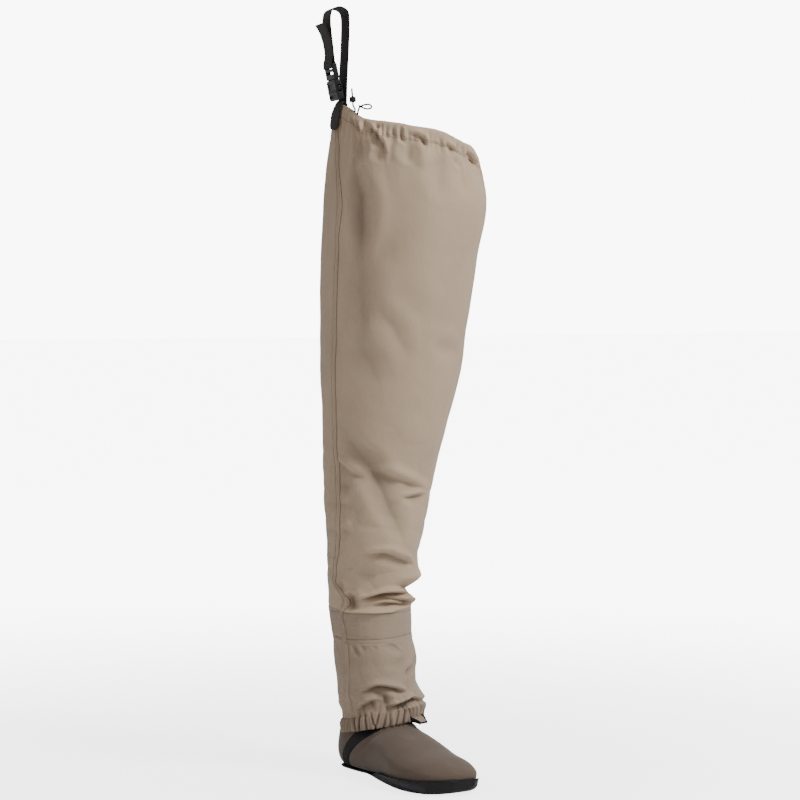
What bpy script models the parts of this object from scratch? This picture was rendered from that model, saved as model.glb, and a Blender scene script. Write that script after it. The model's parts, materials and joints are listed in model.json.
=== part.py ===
"""Right stocking-foot hip wader, standing on its sole.

Metres, +Z up. The toe points along -Y and the outer (lateral) side faces -X.
The origin is on the floor, in the middle of the heel's flat spot.
A turn is an angle round the leg in degrees: 0 faces the toe, 90 the outer side.
"""

import math

import bmesh
import bpy
from mathutils import Matrix, Vector

# Driving sizes
COLLAR_HEIGHT = 0.905
THIGH_WIDTH = 0.223
SECTION_TURN = -31.0
CUFF_HEIGHT = 0.148
FOOT_LENGTH = 0.267
HEEL_BACK = 0.034
BALL_WIDTH = 0.100
INSTEP_HEIGHT = 0.092
SOLE_THICKNESS = 0.005
ARCH_RISE = 0.003
TOE_SPRING = 0.0045
RAND_THICKNESS = 0.0022
TREAD_LIMIT = 0.07
RAND_HEIGHT = 0.018
RIDGE_HEIGHT = 0.0018
RIDGE_PROUD = 0.0008
FABRIC = 0.0012
NEOPRENE = 0.004
GAP = 0.0003

# Overlays on the foot
TAPE_WIDTH = 0.0175
TAPE_THICKNESS = 0.0008
HEEL_SEAM_WIDTH = 0.003
HEEL_SEAM_TOP = 0.036

# Bands and seams on the leg
CASING_HEIGHT = 0.0185
CASING_PROUD = 0.0026
CASING_INWARD = 0.0030
SEAM_TURN = 82.0
SEAM_DRIFT = 12.0
SEAM_WIDTH = 0.009
SEAM_THICKNESS = 0.0009
BAND_TOP = 0.226
BAND_BOTTOM = 0.180
BAND_THICKNESS = 0.0016
HEM_HEIGHT = 0.0180
HEM_LEVEL = 0.065
HEM_TILT = 0.0115
HEM_TILT_TURN = -30.0
HEM_THICKNESS = 0.0034
HEM_GATHERS = 20
HEM_GATHER_DEPTH = 0.0010
HOOK_TURN = -20.0
HOOK_WIDTH = 0.030
HOOK_LENGTH = 0.013
HOOK_THICKNESS = 0.0016

# Strap, buckle and cord
WEBBING_WIDTH = 0.038
WEBBING_THICKNESS = 0.0018
STRAP_TURN = 14.0
ANCHOR_TURN = 103.0
ANCHOR_DROP = 0.0335
ANCHOR_RISE = 0.0040
ANCHOR_THICKNESS = 0.0016
LOOP_RISE = 0.1297
LOOP_RADIUS = 0.0132
BUCKLE_WIDTH = 0.043
BUCKLE_THICKNESS = 0.0090
SOCKET_HEIGHT = 0.028
PLUG_HEIGHT = 0.022
BUCKLE_LEAN = 12.0
BUCKLE_OUT = 0.0030
CORD_DIAMETER = 0.0026
LOCK_RADIUS = 0.0042
LOCK_HEIGHT = 0.0070

# How finely the forms are divided
LEG_SIDES = 36
FOOT_SIDES = 28
HEM_SIDES = 80

# Outer face of the leg. Height is a share of COLLAR_HEIGHT. Inward and ahead place the
# section's centre, across and deep are its half widths, all as shares of THIGH_WIDTH.
LEG_COLUMNS = ("height", "inward", "ahead", "across", "deep")
LEG_ROWS = (
    (0.164, 0.018, 0.159, 0.211, 0.211),
    (0.196, 0.016, 0.092, 0.231, 0.278),
    (0.224, 0.016, 0.072, 0.242, 0.287),
    (0.261, 0.011, 0.061, 0.248, 0.300),
    (0.292, 0.013, 0.074, 0.271, 0.309),
    (0.315, 0.006, 0.085, 0.275, 0.325),
    (0.352, 0.011, 0.108, 0.298, 0.343),
    (0.397, 0.025, 0.114, 0.321, 0.350),
    (0.450, 0.048, 0.112, 0.343, 0.354),
    (0.519, 0.070, 0.138, 0.378, 0.390),
    (0.604, 0.098, 0.163, 0.433, 0.422),
    (0.680, 0.115, 0.186, 0.453, 0.444),
    (0.777, 0.135, 0.210, 0.478, 0.471),
    (0.847, 0.159, 0.233, 0.498, 0.484),
    (0.907, 0.148, 0.227, 0.471, 0.471),
    (0.946, 0.152, 0.229, 0.451, 0.457),
    (0.987, 0.155, 0.231, 0.422, 0.430),
    (1.000, 0.156, 0.232, 0.415, 0.423),
)

# How far the collar's rim lies under its highest point, as a share of COLLAR_HEIGHT.
RIM_COLUMNS = ("turn", "drop")
RIM_ROWS = (
    (-193.0, 0.085),
    (-165.0, 0.118),
    (-140.0, 0.151),
    (-110.0, 0.173),
    (-90.0, 0.168),
    (-75.0, 0.146),
    (-65.0, 0.130),
    (-49.0, 0.086),
    (-32.0, 0.065),
    (-15.0, 0.056),
    (6.0, 0.042),
    (15.0, 0.040),
    (37.0, 0.033),
    (58.0, 0.027),
    (67.0, 0.023),
    (73.0, 0.017),
    (82.0, 0.009),
    (92.0, 0.003),
    (101.0, 0.000),
    (112.0, 0.006),
    (125.0, 0.024),
    (142.0, 0.054),
    (167.0, 0.085),
)

# The gravel guard from its hem to the band. Height is a share of BAND_BOTTOM, the rest
# are shares of THIGH_WIDTH as in the leg's table.
GUARD_COLUMNS = LEG_COLUMNS
GUARD_ROWS = (
    (0.300, 0.032, 0.176, 0.237, 0.276),
    (0.460, 0.036, 0.162, 0.242, 0.275),
    (0.520, 0.043, 0.146, 0.262, 0.278),
    (0.560, 0.036, 0.143, 0.257, 0.281),
    (0.620, 0.014, 0.141, 0.244, 0.285),
    (0.730, 0.014, 0.130, 0.242, 0.287),
    (0.840, 0.024, 0.108, 0.253, 0.291),
    (0.920, 0.020, 0.100, 0.251, 0.294),
    (1.000, 0.016, 0.092, 0.242, 0.291),
)

# Sections of the foot from the toe over the heel to the ankle. Each lies in a plane through a
# top point and a bottom point of the side view. Places along the foot are shares of FOOT_LENGTH
# from the heel's back, heights shares of INSTEP_HEIGHT, widths shares of BALL_WIDTH.
# Bottom heights are over the sole. Round is the exponent of the section's curve.
FOOT_COLUMNS = (
    "top_at", "top_up", "bottom_at", "bottom_up", "outer", "inner", "top_round", "bottom_round",
)
FOOT_ROWS = (
    (0.9965, 0.245, 0.9965, 0.060, 0.000, 0.255, 2.0, 2.2),
    (0.985, 0.300, 0.985, 0.030, 0.120, 0.328, 2.0, 2.6),
    (0.960, 0.345, 0.960, 0.010, 0.250, 0.392, 2.1, 3.0),
    (0.915, 0.400, 0.915, 0.000, 0.375, 0.442, 2.1, 3.2),
    (0.850, 0.462, 0.850, 0.000, 0.455, 0.475, 2.1, 3.2),
    (0.775, 0.530, 0.775, 0.000, 0.500, 0.490, 2.1, 3.2),
    (0.690, 0.630, 0.690, 0.000, 0.510, 0.490, 2.1, 3.2),
    (0.595, 0.725, 0.595, 0.000, 0.470, 0.465, 2.1, 3.1),
    (0.530, 0.761, 0.530, 0.000, 0.445, 0.465, 2.1, 3.0),
    (0.509, 0.769, 0.445, 0.000, 0.425, 0.470, 2.1, 2.9),
    (0.4915, 0.792, 0.354, 0.000, 0.415, 0.475, 2.1, 2.7),
    (0.4755, 0.830, 0.226, 0.000, 0.410, 0.465, 2.1, 2.5),
    (0.464, 0.876, 0.074, 0.000, 0.405, 0.435, 2.1, 2.4),
    (0.459, 0.911, 0.017, 0.087, 0.395, 0.400, 2.1, 2.4),
    (0.456, 0.948, 0.000, 0.272, 0.390, 0.390, 2.1, 2.4),
    (0.4555, 0.978, 0.015, 0.489, 0.395, 0.420, 2.1, 2.3),
    (0.455, 1.000, 0.048, 0.663, 0.400, 0.470, 2.1, 2.2),
    (0.455, 1.022, 0.076, 0.967, 0.400, 0.520, 2.0, 2.0),
)

# The rand's top edge above the floor, as shares of RAND_HEIGHT, at shares of FOOT_LENGTH.
RAND_COLUMNS = ("at", "outer", "inner")
RAND_ROWS = (
    (-0.05, 0.42, 0.42),
    (0.15, 0.36, 0.40),
    (0.38, 0.42, 0.44),
    (0.47, 0.50, 0.46),
    (0.53, 0.84, 0.46),
    (0.62, 0.94, 0.47),
    (0.74, 1.00, 0.50),
    (0.85, 1.03, 0.64),
    (0.93, 1.12, 0.92),
    (1.06, 1.36, 1.36),
)

# The underside above the floor: shares of FOOT_LENGTH, of ARCH_RISE and of TOE_SPRING.
GROUND_COLUMNS = ("at", "arch", "spring")
GROUND_ROWS = (
    (-0.05, 0.0, 0.0),
    (0.25, 0.0, 0.0),
    (0.40, 1.0, 0.0),
    (0.56, 0.0, 0.0),
    (0.80, 0.0, 0.0),
    (0.92, 0.0, 0.35),
    (1.06, 0.0, 1.2),
)

# Middle line of the seam tape in the side view: shares of FOOT_LENGTH and INSTEP_HEIGHT.
TAPE_LINE = (
    (0.170, -0.10),
    (0.173, 0.17),
    (0.221, 0.38),
    (0.302, 0.576),
    (0.400, 0.752),
    (0.467, 0.92),
    (0.515, 1.03),
    (0.560, 1.12),
)

# Middle lines of the strap's strands and of its tail, as shares of LOOP_RISE: out and up.
INNER_STRAND = ((-0.034, 0.019), (-0.040, 0.252), (-0.057, 0.586), (-0.064, 0.830))
OUTER_STRAND = ((0.139, 0.830), (0.112, 0.589))
TAIL_LINE = ((0.133, 0.50), (0.138, 0.60), (0.148, 0.68), (0.180, 0.765), (0.220, 0.824))

# Cord routes over the rim: turn, height over the rim, and distance outwards, in metres.
END_ROUTE = (
    (75.4, 0.0004, 0.0000), (75.8, 0.0035, 0.0004), (77.2, 0.0055, 0.0006), (78.6, 0.0070, 0.0006),
    (79.2, 0.0100, 0.0004), (79.6, 0.0140, 0.0003), (80.0, 0.0180, 0.0002), (80.3, 0.0215, 0.0002),
    (80.3, 0.0250, 0.0008), (80.1, 0.0285, 0.0012),
)
LOOP_ROUTE = (
    (71.8, 0.0004, 0.0008), (71.4, 0.0050, 0.0014), (70.2, 0.0100, 0.0020), (68.0, 0.0143, 0.0024),
    (65.0, 0.0176, 0.0022), (61.6, 0.0192, 0.0018), (59.2, 0.0180, 0.0008), (60.0, 0.0148, -0.0004),
    (63.0, 0.0130, -0.0012), (66.4, 0.0122, -0.0018), (69.6, 0.0116, -0.0022),
    (73.0, 0.0108, -0.0018),
)
LOCK_AT = 4

COLOURS = {
    "sole": ((0.012, 0.011, 0.013), 0.55),
    "bootie": ((0.155, 0.118, 0.096), 0.85),
    "tape": ((0.018, 0.016, 0.018), 0.6),
    "fabric": ((0.42, 0.345, 0.28), 0.75),
    "guard": ((0.30, 0.25, 0.21), 0.8),
    "webbing": ((0.030, 0.025, 0.021), 0.85),
    "plastic": ((0.035, 0.035, 0.037), 0.35),
    "cord": ((0.012, 0.012, 0.013), 0.7),
}


def clear_scene():
    """Remove the objects that a new scene comes with."""
    for obj in list(bpy.data.objects):
        bpy.data.objects.remove(obj)


def table(columns, rows):
    """Rows as dictionaries keyed by the column names."""
    return [dict(zip(columns, row)) for row in rows]


def read(rows, key, column, at):
    """Value of a column at a place between rows, on a smooth curve through them."""
    if at <= rows[0][key]:
        return rows[0][column]
    if at >= rows[-1][key]:
        return rows[-1][column]
    i = max(k for k in range(len(rows) - 1) if rows[k][key] <= at)
    first, second = rows[i], rows[i + 1]
    before = rows[i - 1] if i else first
    after = rows[i + 2] if i + 2 < len(rows) else second
    span = second[key] - first[key]
    t = (at - first[key]) / span
    slope_a = (second[column] - before[column]) / (second[key] - before[key]) * span
    slope_b = (after[column] - first[column]) / (after[key] - first[key]) * span
    a, b = first[column], second[column]
    return (
        a * (2 * t**3 - 3 * t**2 + 1)
        + slope_a * (t**3 - 2 * t**2 + t)
        + b * (3 * t**2 - 2 * t**3)
        + slope_b * (t**3 - t**2)
    )


LEG = table(LEG_COLUMNS, LEG_ROWS)
RIM = table(RIM_COLUMNS, RIM_ROWS)
GUARD = table(GUARD_COLUMNS, GUARD_ROWS)
FOOT = table(FOOT_COLUMNS, FOOT_ROWS)
RAND = table(RAND_COLUMNS, RAND_ROWS)
GROUND = table(GROUND_COLUMNS, GROUND_ROWS)


def heading(turn):
    """Unit direction of a turn: 0 faces the toe, 90 the outer side."""
    angle = math.radians(turn)
    return Vector((-math.sin(angle), -math.cos(angle), 0.0))


def turns(count):
    """Turns of evenly spaced stations all round the leg."""
    return [360.0 * k / count for k in range(count)]


def rim_height(turn):
    """Height of the collar's rim at a turn."""
    folded = (turn + 193.0) % 360.0 - 193.0
    return COLLAR_HEIGHT * (1.0 - read(RIM, "turn", "drop", folded))


def section_point(rows, scale, turn, z, out):
    """Point of an oval section at a height, seen from its centre along a turn, pushed out."""
    share = z / scale
    centre = Vector((
        THIGH_WIDTH * read(rows, "height", "inward", share),
        -THIGH_WIDTH * read(rows, "height", "ahead", share),
        z,
    ))
    across = THIGH_WIDTH * read(rows, "height", "across", share) + out
    deep = THIGH_WIDTH * read(rows, "height", "deep", share) + out
    axis = math.radians(SECTION_TURN)
    along = Vector((math.cos(axis), math.sin(axis), 0.0))
    over = Vector((math.sin(axis), -math.cos(axis), 0.0))
    way = heading(turn)
    u, v = way.dot(along), way.dot(over)
    reach = 1.0 / math.hypot(u / across, v / deep)
    return centre + way * reach


def leg_point(turn, z, out=0.0):
    """Point of the leg's outer face, pushed out by a distance."""
    return section_point(LEG, COLLAR_HEIGHT, turn, z, out)


def guard_point(turn, z, out=0.0):
    """Point of the gravel guard's outer face, pushed out by a distance."""
    return section_point(GUARD, BAND_BOTTOM, turn, z, out)


def hem_bottom(turn):
    """Height of the hem's lower edge, which climbs towards the front."""
    return HEM_LEVEL + HEM_TILT * math.cos(math.radians(turn - HEM_TILT_TURN))


def foot_y(share):
    """Place along the foot from a share of its length."""
    return HEEL_BACK - share * FOOT_LENGTH


def ground(y):
    """Height of the underside over the floor."""
    at = (HEEL_BACK - y) / FOOT_LENGTH
    rise = ARCH_RISE * read(GROUND, "at", "arch", at)
    return max(0.0, rise) + max(0.0, TOE_SPRING * read(GROUND, "at", "spring", at))


def foot_ring(row, out, under=0.0, squarer=0.0):
    """Closed ring of the foot's form. Out pushes it outwards, under lowers the underside.

    Sections whose bottom is under TREAD_LIMIT have the sole beneath them.
    """
    tip = max(0.0, row["top_at"] - 0.85) / 0.15
    shift = -out * tip**3
    top = Vector((0.0, foot_y(row["top_at"]) + shift, INSTEP_HEIGHT * row["top_up"]))
    low_y = foot_y(row["bottom_at"]) + shift
    sole_top = SOLE_THICKNESS + ground(low_y)
    low = Vector((0.0, low_y, INSTEP_HEIGHT * row["bottom_up"] + sole_top))
    down = (low - top).normalized()
    treads = under and row["bottom_up"] < TREAD_LIMIT
    top = top - down * out
    low = low + down * (under / -down.z if treads else out)
    middle, half = (top + low) / 2, (low - top) / 2
    ring = []
    for k in range(FOOT_SIDES):
        angle = 2 * math.pi * k / FOOT_SIDES
        c, s = math.cos(angle), math.sin(angle)
        power = 2.0 / (row["top_round"] if c > 0 else row["bottom_round"] + squarer)
        side = row["outer"] if s > 0 else row["inner"]
        x = -math.copysign(abs(s) ** power, s) * (BALL_WIDTH * side + out)
        point = middle - half * math.copysign(abs(c) ** power, c)
        ring.append(Vector((x, point.y, point.z)))
    return ring


def low_rings(out, under, squarer):
    """Rings of the foot's form that reach the sole or its rand, toe first."""
    rows = [row for row in FOOT if row["bottom_up"] < 0.6]
    return [foot_ring(row, out, under, squarer) for row in rows]


def foot_rings(out):
    """All rings of the foot's form, from the toe to the leg's own section at the cuff."""
    rings = [foot_ring(row, out) for row in FOOT]
    ankle = rings[-1]
    cuff = [leg_point(turn, CUFF_HEIGHT, out) for turn in turns(FOOT_SIDES)]
    for share in (0.44, 1.0):
        rings.append([low.lerp(high, share) for low, high in zip(ankle, cuff)])
    return rings


def material(name):
    """Plain surface of one colour and gloss."""
    colour, rough = COLOURS[name]
    made = bpy.data.materials.get(name) or bpy.data.materials.new(name)
    made.use_nodes = True
    shader = made.node_tree.nodes["Principled BSDF"]
    shader.inputs["Base Color"].default_value = (*colour, 1.0)
    shader.inputs["Roughness"].default_value = rough
    shader.inputs["Metallic"].default_value = 0.0
    return made


class Assembly:
    """The wader's collection, its cutters' collection and the empty that carries the pieces."""

    def __init__(self, name):
        self.parts = bpy.data.collections.new(name)
        self.cutters = bpy.data.collections.new(name + "_cutters")
        for collection in (self.parts, self.cutters):
            bpy.context.scene.collection.children.link(collection)
        self.root = bpy.data.objects.new(name, None)
        self.parts.objects.link(self.root)

    def piece(self, name, data, finish):
        """Add a named piece of the wader."""
        obj = bpy.data.objects.new(name, data)
        obj.data.materials.append(material(finish))
        self.parts.objects.link(obj)
        obj.parent = self.root
        return obj

    def cutter(self, name, data):
        """Add a helper that only cuts."""
        obj = bpy.data.objects.new(name, data)
        obj.hide_render = True
        obj.display_type = "WIRE"
        self.cutters.objects.link(obj)
        obj.parent = self.root
        return obj


def combine(obj, other, operation):
    """Boolean of two objects."""
    step = obj.modifiers.new(operation.lower() + "_" + other.name, "BOOLEAN")
    step.operation = operation
    step.solver = "EXACT"
    step.object = other


def loft(name, rings, around=True, closed=False):
    """Mesh through rings of equal length. Closed joins the last ring to the first."""
    shape = bmesh.new()
    rows = [[shape.verts.new(point) for point in ring] for ring in rings]
    pairs = list(zip(rows, rows[1:]))
    if closed:
        pairs.append((rows[-1], rows[0]))
    count = len(rows[0])
    for near, far in pairs:
        for k in range(count if around else count - 1):
            n = (k + 1) % count
            shape.faces.new((near[k], near[n], far[n], far[k]))
    bmesh.ops.triangulate(shape, faces=shape.faces[:], quad_method="FIXED")
    if not closed:
        shape.faces.new(rows[0])
        shape.faces.new(rows[-1])
    bmesh.ops.recalc_face_normals(shape, faces=shape.faces)
    mesh = bpy.data.meshes.new(name)
    shape.to_mesh(mesh)
    shape.free()
    mesh.shade_smooth()
    mesh.set_sharp_from_angle(angle=math.radians(40))
    return mesh


def box_mesh(name, size, centre, bevel=0.0):
    """Box of a size round a centre, with its edges rounded."""
    shape = bmesh.new()
    bmesh.ops.create_cube(shape, size=1.0)
    bmesh.ops.scale(shape, vec=size, verts=shape.verts)
    if bevel:
        bmesh.ops.bevel(
            shape, geom=shape.edges[:], offset=bevel, segments=1, profile=0.5, affect="EDGES"
        )
    bmesh.ops.translate(shape, vec=centre, verts=shape.verts)
    mesh = bpy.data.meshes.new(name)
    shape.to_mesh(mesh)
    shape.free()
    return mesh


def band_levels():
    """Heights of the rings that the leg and its band share."""
    return [BAND_BOTTOM, (BAND_BOTTOM + BAND_TOP) / 2, BAND_TOP]


def leg_levels(turn, top_gap):
    """Heights of the leg's rings at a turn: level below, and sloping with the rim above."""
    top = rim_height(turn) - top_gap
    heights = [row["height"] * COLLAR_HEIGHT for row in LEG if row["height"] < 0.70]
    heights = [height for height in heights if height > BAND_TOP + 0.005]
    heights = [CUFF_HEIGHT + GAP] + band_levels() + heights
    level = heights[-1]
    steps = 6
    return heights + [level + (top - level) * k / steps for k in range(1, steps + 1)]


def make_leg(wader):
    """Hollow fabric tube from the ankle to the collar."""
    stations = turns(LEG_SIDES)
    levels = [leg_levels(turn, CASING_HEIGHT + GAP) for turn in stations]
    count = len(levels[0])
    outer = [
        [leg_point(turn, levels[k][n]) for k, turn in enumerate(stations)] for n in range(count)
    ]
    inner = [
        [leg_point(turn, levels[k][n], -FABRIC) for k, turn in enumerate(stations)]
        for n in range(count)
    ]
    wader.piece("leg", loft("leg", outer + inner[::-1], closed=True), "fabric")


def casing_mesh(name, grow, low):
    """Mesh of the drawcord tunnel, grown by a distance, down to a share of its height."""
    proud, inward = CASING_PROUD, -CASING_INWARD
    profile = (
        (0.4 * proud + grow, low), (proud + grow, 0.72 * low), (proud + grow, -0.25),
        (0.55 * proud + grow, -0.03), (0.25 * inward, 0.0), (0.8 * inward - grow, -0.08),
        (inward - grow, -0.5), (0.85 * inward - grow, low),
    )
    rings = []
    for turn in turns(LEG_SIDES):
        rim = rim_height(turn) + grow
        rings.append([leg_point(turn, rim + up * CASING_HEIGHT, out) for out, up in profile])
    return loft(name, rings, closed=True)


def make_casing(wader):
    """Drawcord tunnel round the rim."""
    wader.piece("collar_casing", casing_mesh("collar_casing", 0.0, -1.0), "fabric")


def seam_turn(level):
    """Turn of the outseam, which drifts backwards on its way up."""
    return SEAM_TURN + SEAM_DRIFT * (level / COLLAR_HEIGHT) ** 2


def make_side_seam(wader):
    """Raised outseam from the band to the casing."""
    inner, outer = GAP, GAP + SEAM_THICKNESS
    section = ((-0.5, inner), (0.5, inner), (0.38, outer), (-0.38, outer))
    start = BAND_TOP + GAP
    top_gap = CASING_HEIGHT + 4 * GAP
    levels = [start] + [z for z in leg_levels(SEAM_TURN, top_gap) if z > start + 0.005]
    rings = []
    for n, level in enumerate(levels):
        middle = seam_turn(level)
        reach = (leg_point(middle, level) - leg_point(middle + 180.0, level)).length / 2
        width = math.degrees(SEAM_WIDTH / reach)
        ring = []
        for across, out in section:
            turn = middle + across * width
            z = leg_levels(turn, top_gap)[n - len(levels)] if n else start
            ring.append(leg_point(turn, z, out))
        rings.append(ring)
    wader.piece("side_seam", loft("side_seam", rings), "guard")


def make_guard_band(wader):
    """Doubled band of fabric where the gravel guard is sewn on."""
    stations = turns(LEG_SIDES)
    heights = band_levels()
    outer = [
        [leg_point(turn, z, GAP + BAND_THICKNESS) for turn in stations] for z in heights
    ]
    inner = [[leg_point(turn, z, GAP) for turn in stations] for z in heights[::-1]]
    wader.piece("guard_band", loft("guard_band", outer + inner, closed=True), "guard")


def make_gravel_guard(wader, taped):
    """Loose cuff from the band to the hem, open inside."""
    stations = turns(LEG_SIDES)
    shares = (0.0, 0.12, 0.25, 0.42, 0.62, 0.82, 1.0)

    def ring(share, out):
        points = []
        for turn in stations:
            low = hem_bottom(turn) + HEM_HEIGHT + GAP
            z = low + (BAND_BOTTOM - GAP - low) * share
            points.append(guard_point(turn, z, out))
        return points

    rings = [ring(share, 0.0) for share in shares]
    rings += [ring(share, -FABRIC) for share in shares[::-1]]
    guard = wader.piece("gravel_guard", loft("gravel_guard", rings, closed=True), "guard")
    combine(guard, taped, "DIFFERENCE")


def make_guard_hem(wader, taped):
    """Gathered elastic hem of the gravel guard."""
    section = (
        (-0.45, 0.06), (-0.1, 0.0), (0.4, 0.12), (0.5, 0.5), (0.4, 0.9), (0.0, 1.0),
        (-0.5, 0.94), (-0.58, 0.5),
    )
    rings = []
    for turn in turns(HEM_SIDES):
        wave = HEM_GATHER_DEPTH * math.cos(math.radians(turn * HEM_GATHERS))
        low = hem_bottom(turn)
        rings.append([
            guard_point(turn, low + HEM_HEIGHT * up, HEM_THICKNESS * (out - 0.5) + wave)
            for out, up in section
        ])
    hem = wader.piece("guard_hem", loft("guard_hem", rings, closed=True), "guard")
    combine(hem, taped, "DIFFERENCE")


def make_lace_hook(wader):
    """Folded tab at the front of the hem."""
    way, side = heading(HOOK_TURN), heading(HOOK_TURN + 90.0)
    seat = guard_point(HOOK_TURN, hem_bottom(HOOK_TURN) + 0.3 * HEM_HEIGHT)
    start = seat + way * (HEM_GATHER_DEPTH + GAP)
    rings = []
    for share in (0.0, 0.35, 0.7, 1.0):
        width = HOOK_WIDTH * (1.0 - 0.35 * share**2) / 2
        middle = start + way * HOOK_LENGTH * share - Vector((0, 0, HOOK_LENGTH * 0.45 * share))
        lift = Vector((0, 0, HOOK_THICKNESS / 2))
        rings.append([
            middle - side * width - lift, middle + side * width - lift,
            middle + side * width + lift, middle - side * width + lift,
        ])
    wader.piece("lace_hook", loft("lace_hook", rings), "guard")


def underside_outline(inset):
    """Outline of the foot's underside, drawn inwards by a distance."""
    rows = [row for row in FOOT if row["bottom_up"] < 0.05]
    outer = [Vector((-BALL_WIDTH * row["outer"] + inset, foot_y(row["bottom_at"]), 0.0)) for row in rows]
    inner = [Vector((BALL_WIDTH * row["inner"] - inset, foot_y(row["bottom_at"]), 0.0)) for row in rows]
    outer = [point for point in outer if point.y > foot_y(0.97) and point.y < foot_y(0.05)]
    inner = [point for point in inner if point.y > foot_y(0.97) and point.y < foot_y(0.05)]
    return outer + inner[::-1]


def make_bootie(wader):
    """Hollow neoprene foot, open at the cuff and underneath."""
    outer, inner = foot_rings(0.0), foot_rings(-NEOPRENE)
    bootie = wader.piece("bootie", loft("bootie", outer + inner[::-1]), "bootie")
    outline = underside_outline(2.2 * NEOPRENE)
    depth = SOLE_THICKNESS + NEOPRENE * 1.8
    rings = [[point + Vector((0, 0, z)) for point in outline] for z in (-0.005, depth)]
    hole = wader.cutter("underside_hole", loft("underside_hole", rings))
    combine(bootie, hole, "DIFFERENCE")


def rand_cutter(wader, name, lower):
    """Solid of all that lies above the rand's top edge, moved down by a distance."""
    rings = []
    reach = 2 * BALL_WIDTH
    spots = (-0.02, 0.08, 0.2, 0.3, 0.4, 0.46, 0.5, 0.54, 0.6, 0.68, 0.78, 0.86, 0.92, 0.97, 1.02)
    for at in (-0.5,) + spots + (1.5,):
        place = min(max(at, -0.05), 1.06)
        outer = RAND_HEIGHT * read(RAND, "at", "outer", place) - lower
        inner = RAND_HEIGHT * read(RAND, "at", "inner", place) - lower
        y = foot_y(at)
        middle = (outer + inner) / 2
        quarter = 0.3 * BALL_WIDTH
        rings.append([
            Vector((-reach, y, outer)), Vector((-quarter, y, outer)), Vector((0.0, y, middle)),
            Vector((quarter, y, inner)), Vector((reach, y, inner)),
            Vector((reach, y, COLLAR_HEIGHT)), Vector((-reach, y, COLLAR_HEIGHT)),
        ])
    return wader.cutter(name, loft(name, rings))


def sole_form(name, out):
    """Mesh of the sole's outer form with flat spots under heel and forefoot."""
    sink = 0.0015
    rings = low_rings(out, SOLE_THICKNESS + sink, 1.2)
    for ring in rings:
        for point in ring:
            point.z = max(point.z, ground(point.y))
    return loft(name, rings)


def make_sole(wader, foot):
    """Thin sole with a rand and a ridge along the rand's top edge."""
    sole = wader.piece("sole", sole_form("sole", GAP + RAND_THICKNESS), "sole")
    ridge = wader.cutter(
        "ridge_form", sole_form("ridge_form", GAP + RAND_THICKNESS + RIDGE_PROUD)
    )
    below_ridge = rand_cutter(wader, "ridge_band", RIDGE_HEIGHT)
    combine(ridge, below_ridge, "INTERSECT")
    combine(sole, ridge, "UNION")
    combine(sole, rand_cutter(wader, "rand_top", 0.0), "DIFFERENCE")
    combine(sole, foot, "DIFFERENCE")
    return sole


def tape_prism(wader):
    """Band of the seam tape in the side view, thick enough to cross the whole foot."""
    line = [Vector((foot_y(at), INSTEP_HEIGHT * up)) for at, up in TAPE_LINE]
    left, right = [], []
    for k, point in enumerate(line):
        ahead = line[min(k + 1, len(line) - 1)] - line[max(k - 1, 0)]
        normal = Vector((-ahead.y, ahead.x)).normalized() * TAPE_WIDTH / 2
        left.append(point + normal)
        right.append(point - normal)
    rings = []
    for x in (-BALL_WIDTH, BALL_WIDTH):
        rings.append([Vector((x, point.x, point.y)) for point in left + right[::-1]])
    return wader.cutter("tape_band", loft("tape_band", rings))


def make_seam_tape(wader, foot, rand_clear):
    """Black tape from the sole on both sides to the front of the ankle."""
    rings = foot_rings(GAP + TAPE_THICKNESS)
    tape = wader.piece("seam_tape", loft("seam_tape", rings), "tape")
    combine(tape, tape_prism(wader), "INTERSECT")
    combine(tape, foot, "DIFFERENCE")
    combine(tape, rand_clear, "DIFFERENCE")


def make_heel_seam(wader, foot, rand_clear):
    """Narrow tape up the back of the heel."""
    size = (HEEL_SEAM_WIDTH, HEEL_BACK, HEEL_SEAM_TOP)
    centre = (0.0, HEEL_BACK, HEEL_SEAM_TOP / 2)
    seam = wader.piece("heel_seam", box_mesh("heel_seam", size, centre), "tape")
    form = wader.cutter("heel_seam_form", loft("heel_seam_form", foot_rings(GAP + TAPE_THICKNESS)))
    combine(seam, form, "INTERSECT")
    combine(seam, foot, "DIFFERENCE")
    combine(seam, rand_clear, "DIFFERENCE")


def strap_point(out, up, across=0.0):
    """Point of the strap: out from the anchor, up from the rim, and across the webbing."""
    base = leg_point(ANCHOR_TURN, COLLAR_HEIGHT)
    away, side = heading(STRAP_TURN + 90.0), heading(STRAP_TURN)
    return base + away * out + side * across + Vector((0, 0, up))


def smooth_line(points, steps):
    """Points on a smooth curve through a short line of points."""
    line = [Vector(point) for point in points]
    padded = [2 * line[0] - line[1]] + line + [2 * line[-1] - line[-2]]
    made = []
    for a, b, c, d in zip(padded, padded[1:], padded[2:], padded[3:]):
        for k in range(steps):
            t = k / steps
            made.append(0.5 * (
                2 * b + (c - a) * t + (2 * a - 5 * b + 4 * c - d) * t**2
                + (3 * b - a - 3 * c + d) * t**3
            ))
    return made + [line[-1]]


def webbing(name, line):
    """Flat webbing that follows a line of out and up distances."""
    half = WEBBING_THICKNESS / 2
    rings = []
    for k, point in enumerate(line):
        ahead = line[min(k + 1, len(line) - 1)] - line[max(k - 1, 0)]
        normal = Vector((-ahead.y, ahead.x)).normalized() * half
        rings.append([
            strap_point(spot.x, spot.y, across)
            for spot, across in (
                (point + normal, -WEBBING_WIDTH / 2), (point + normal, WEBBING_WIDTH / 2),
                (point - normal, WEBBING_WIDTH / 2), (point - normal, -WEBBING_WIDTH / 2),
            )
        ])
    return loft(name, rings)


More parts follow.
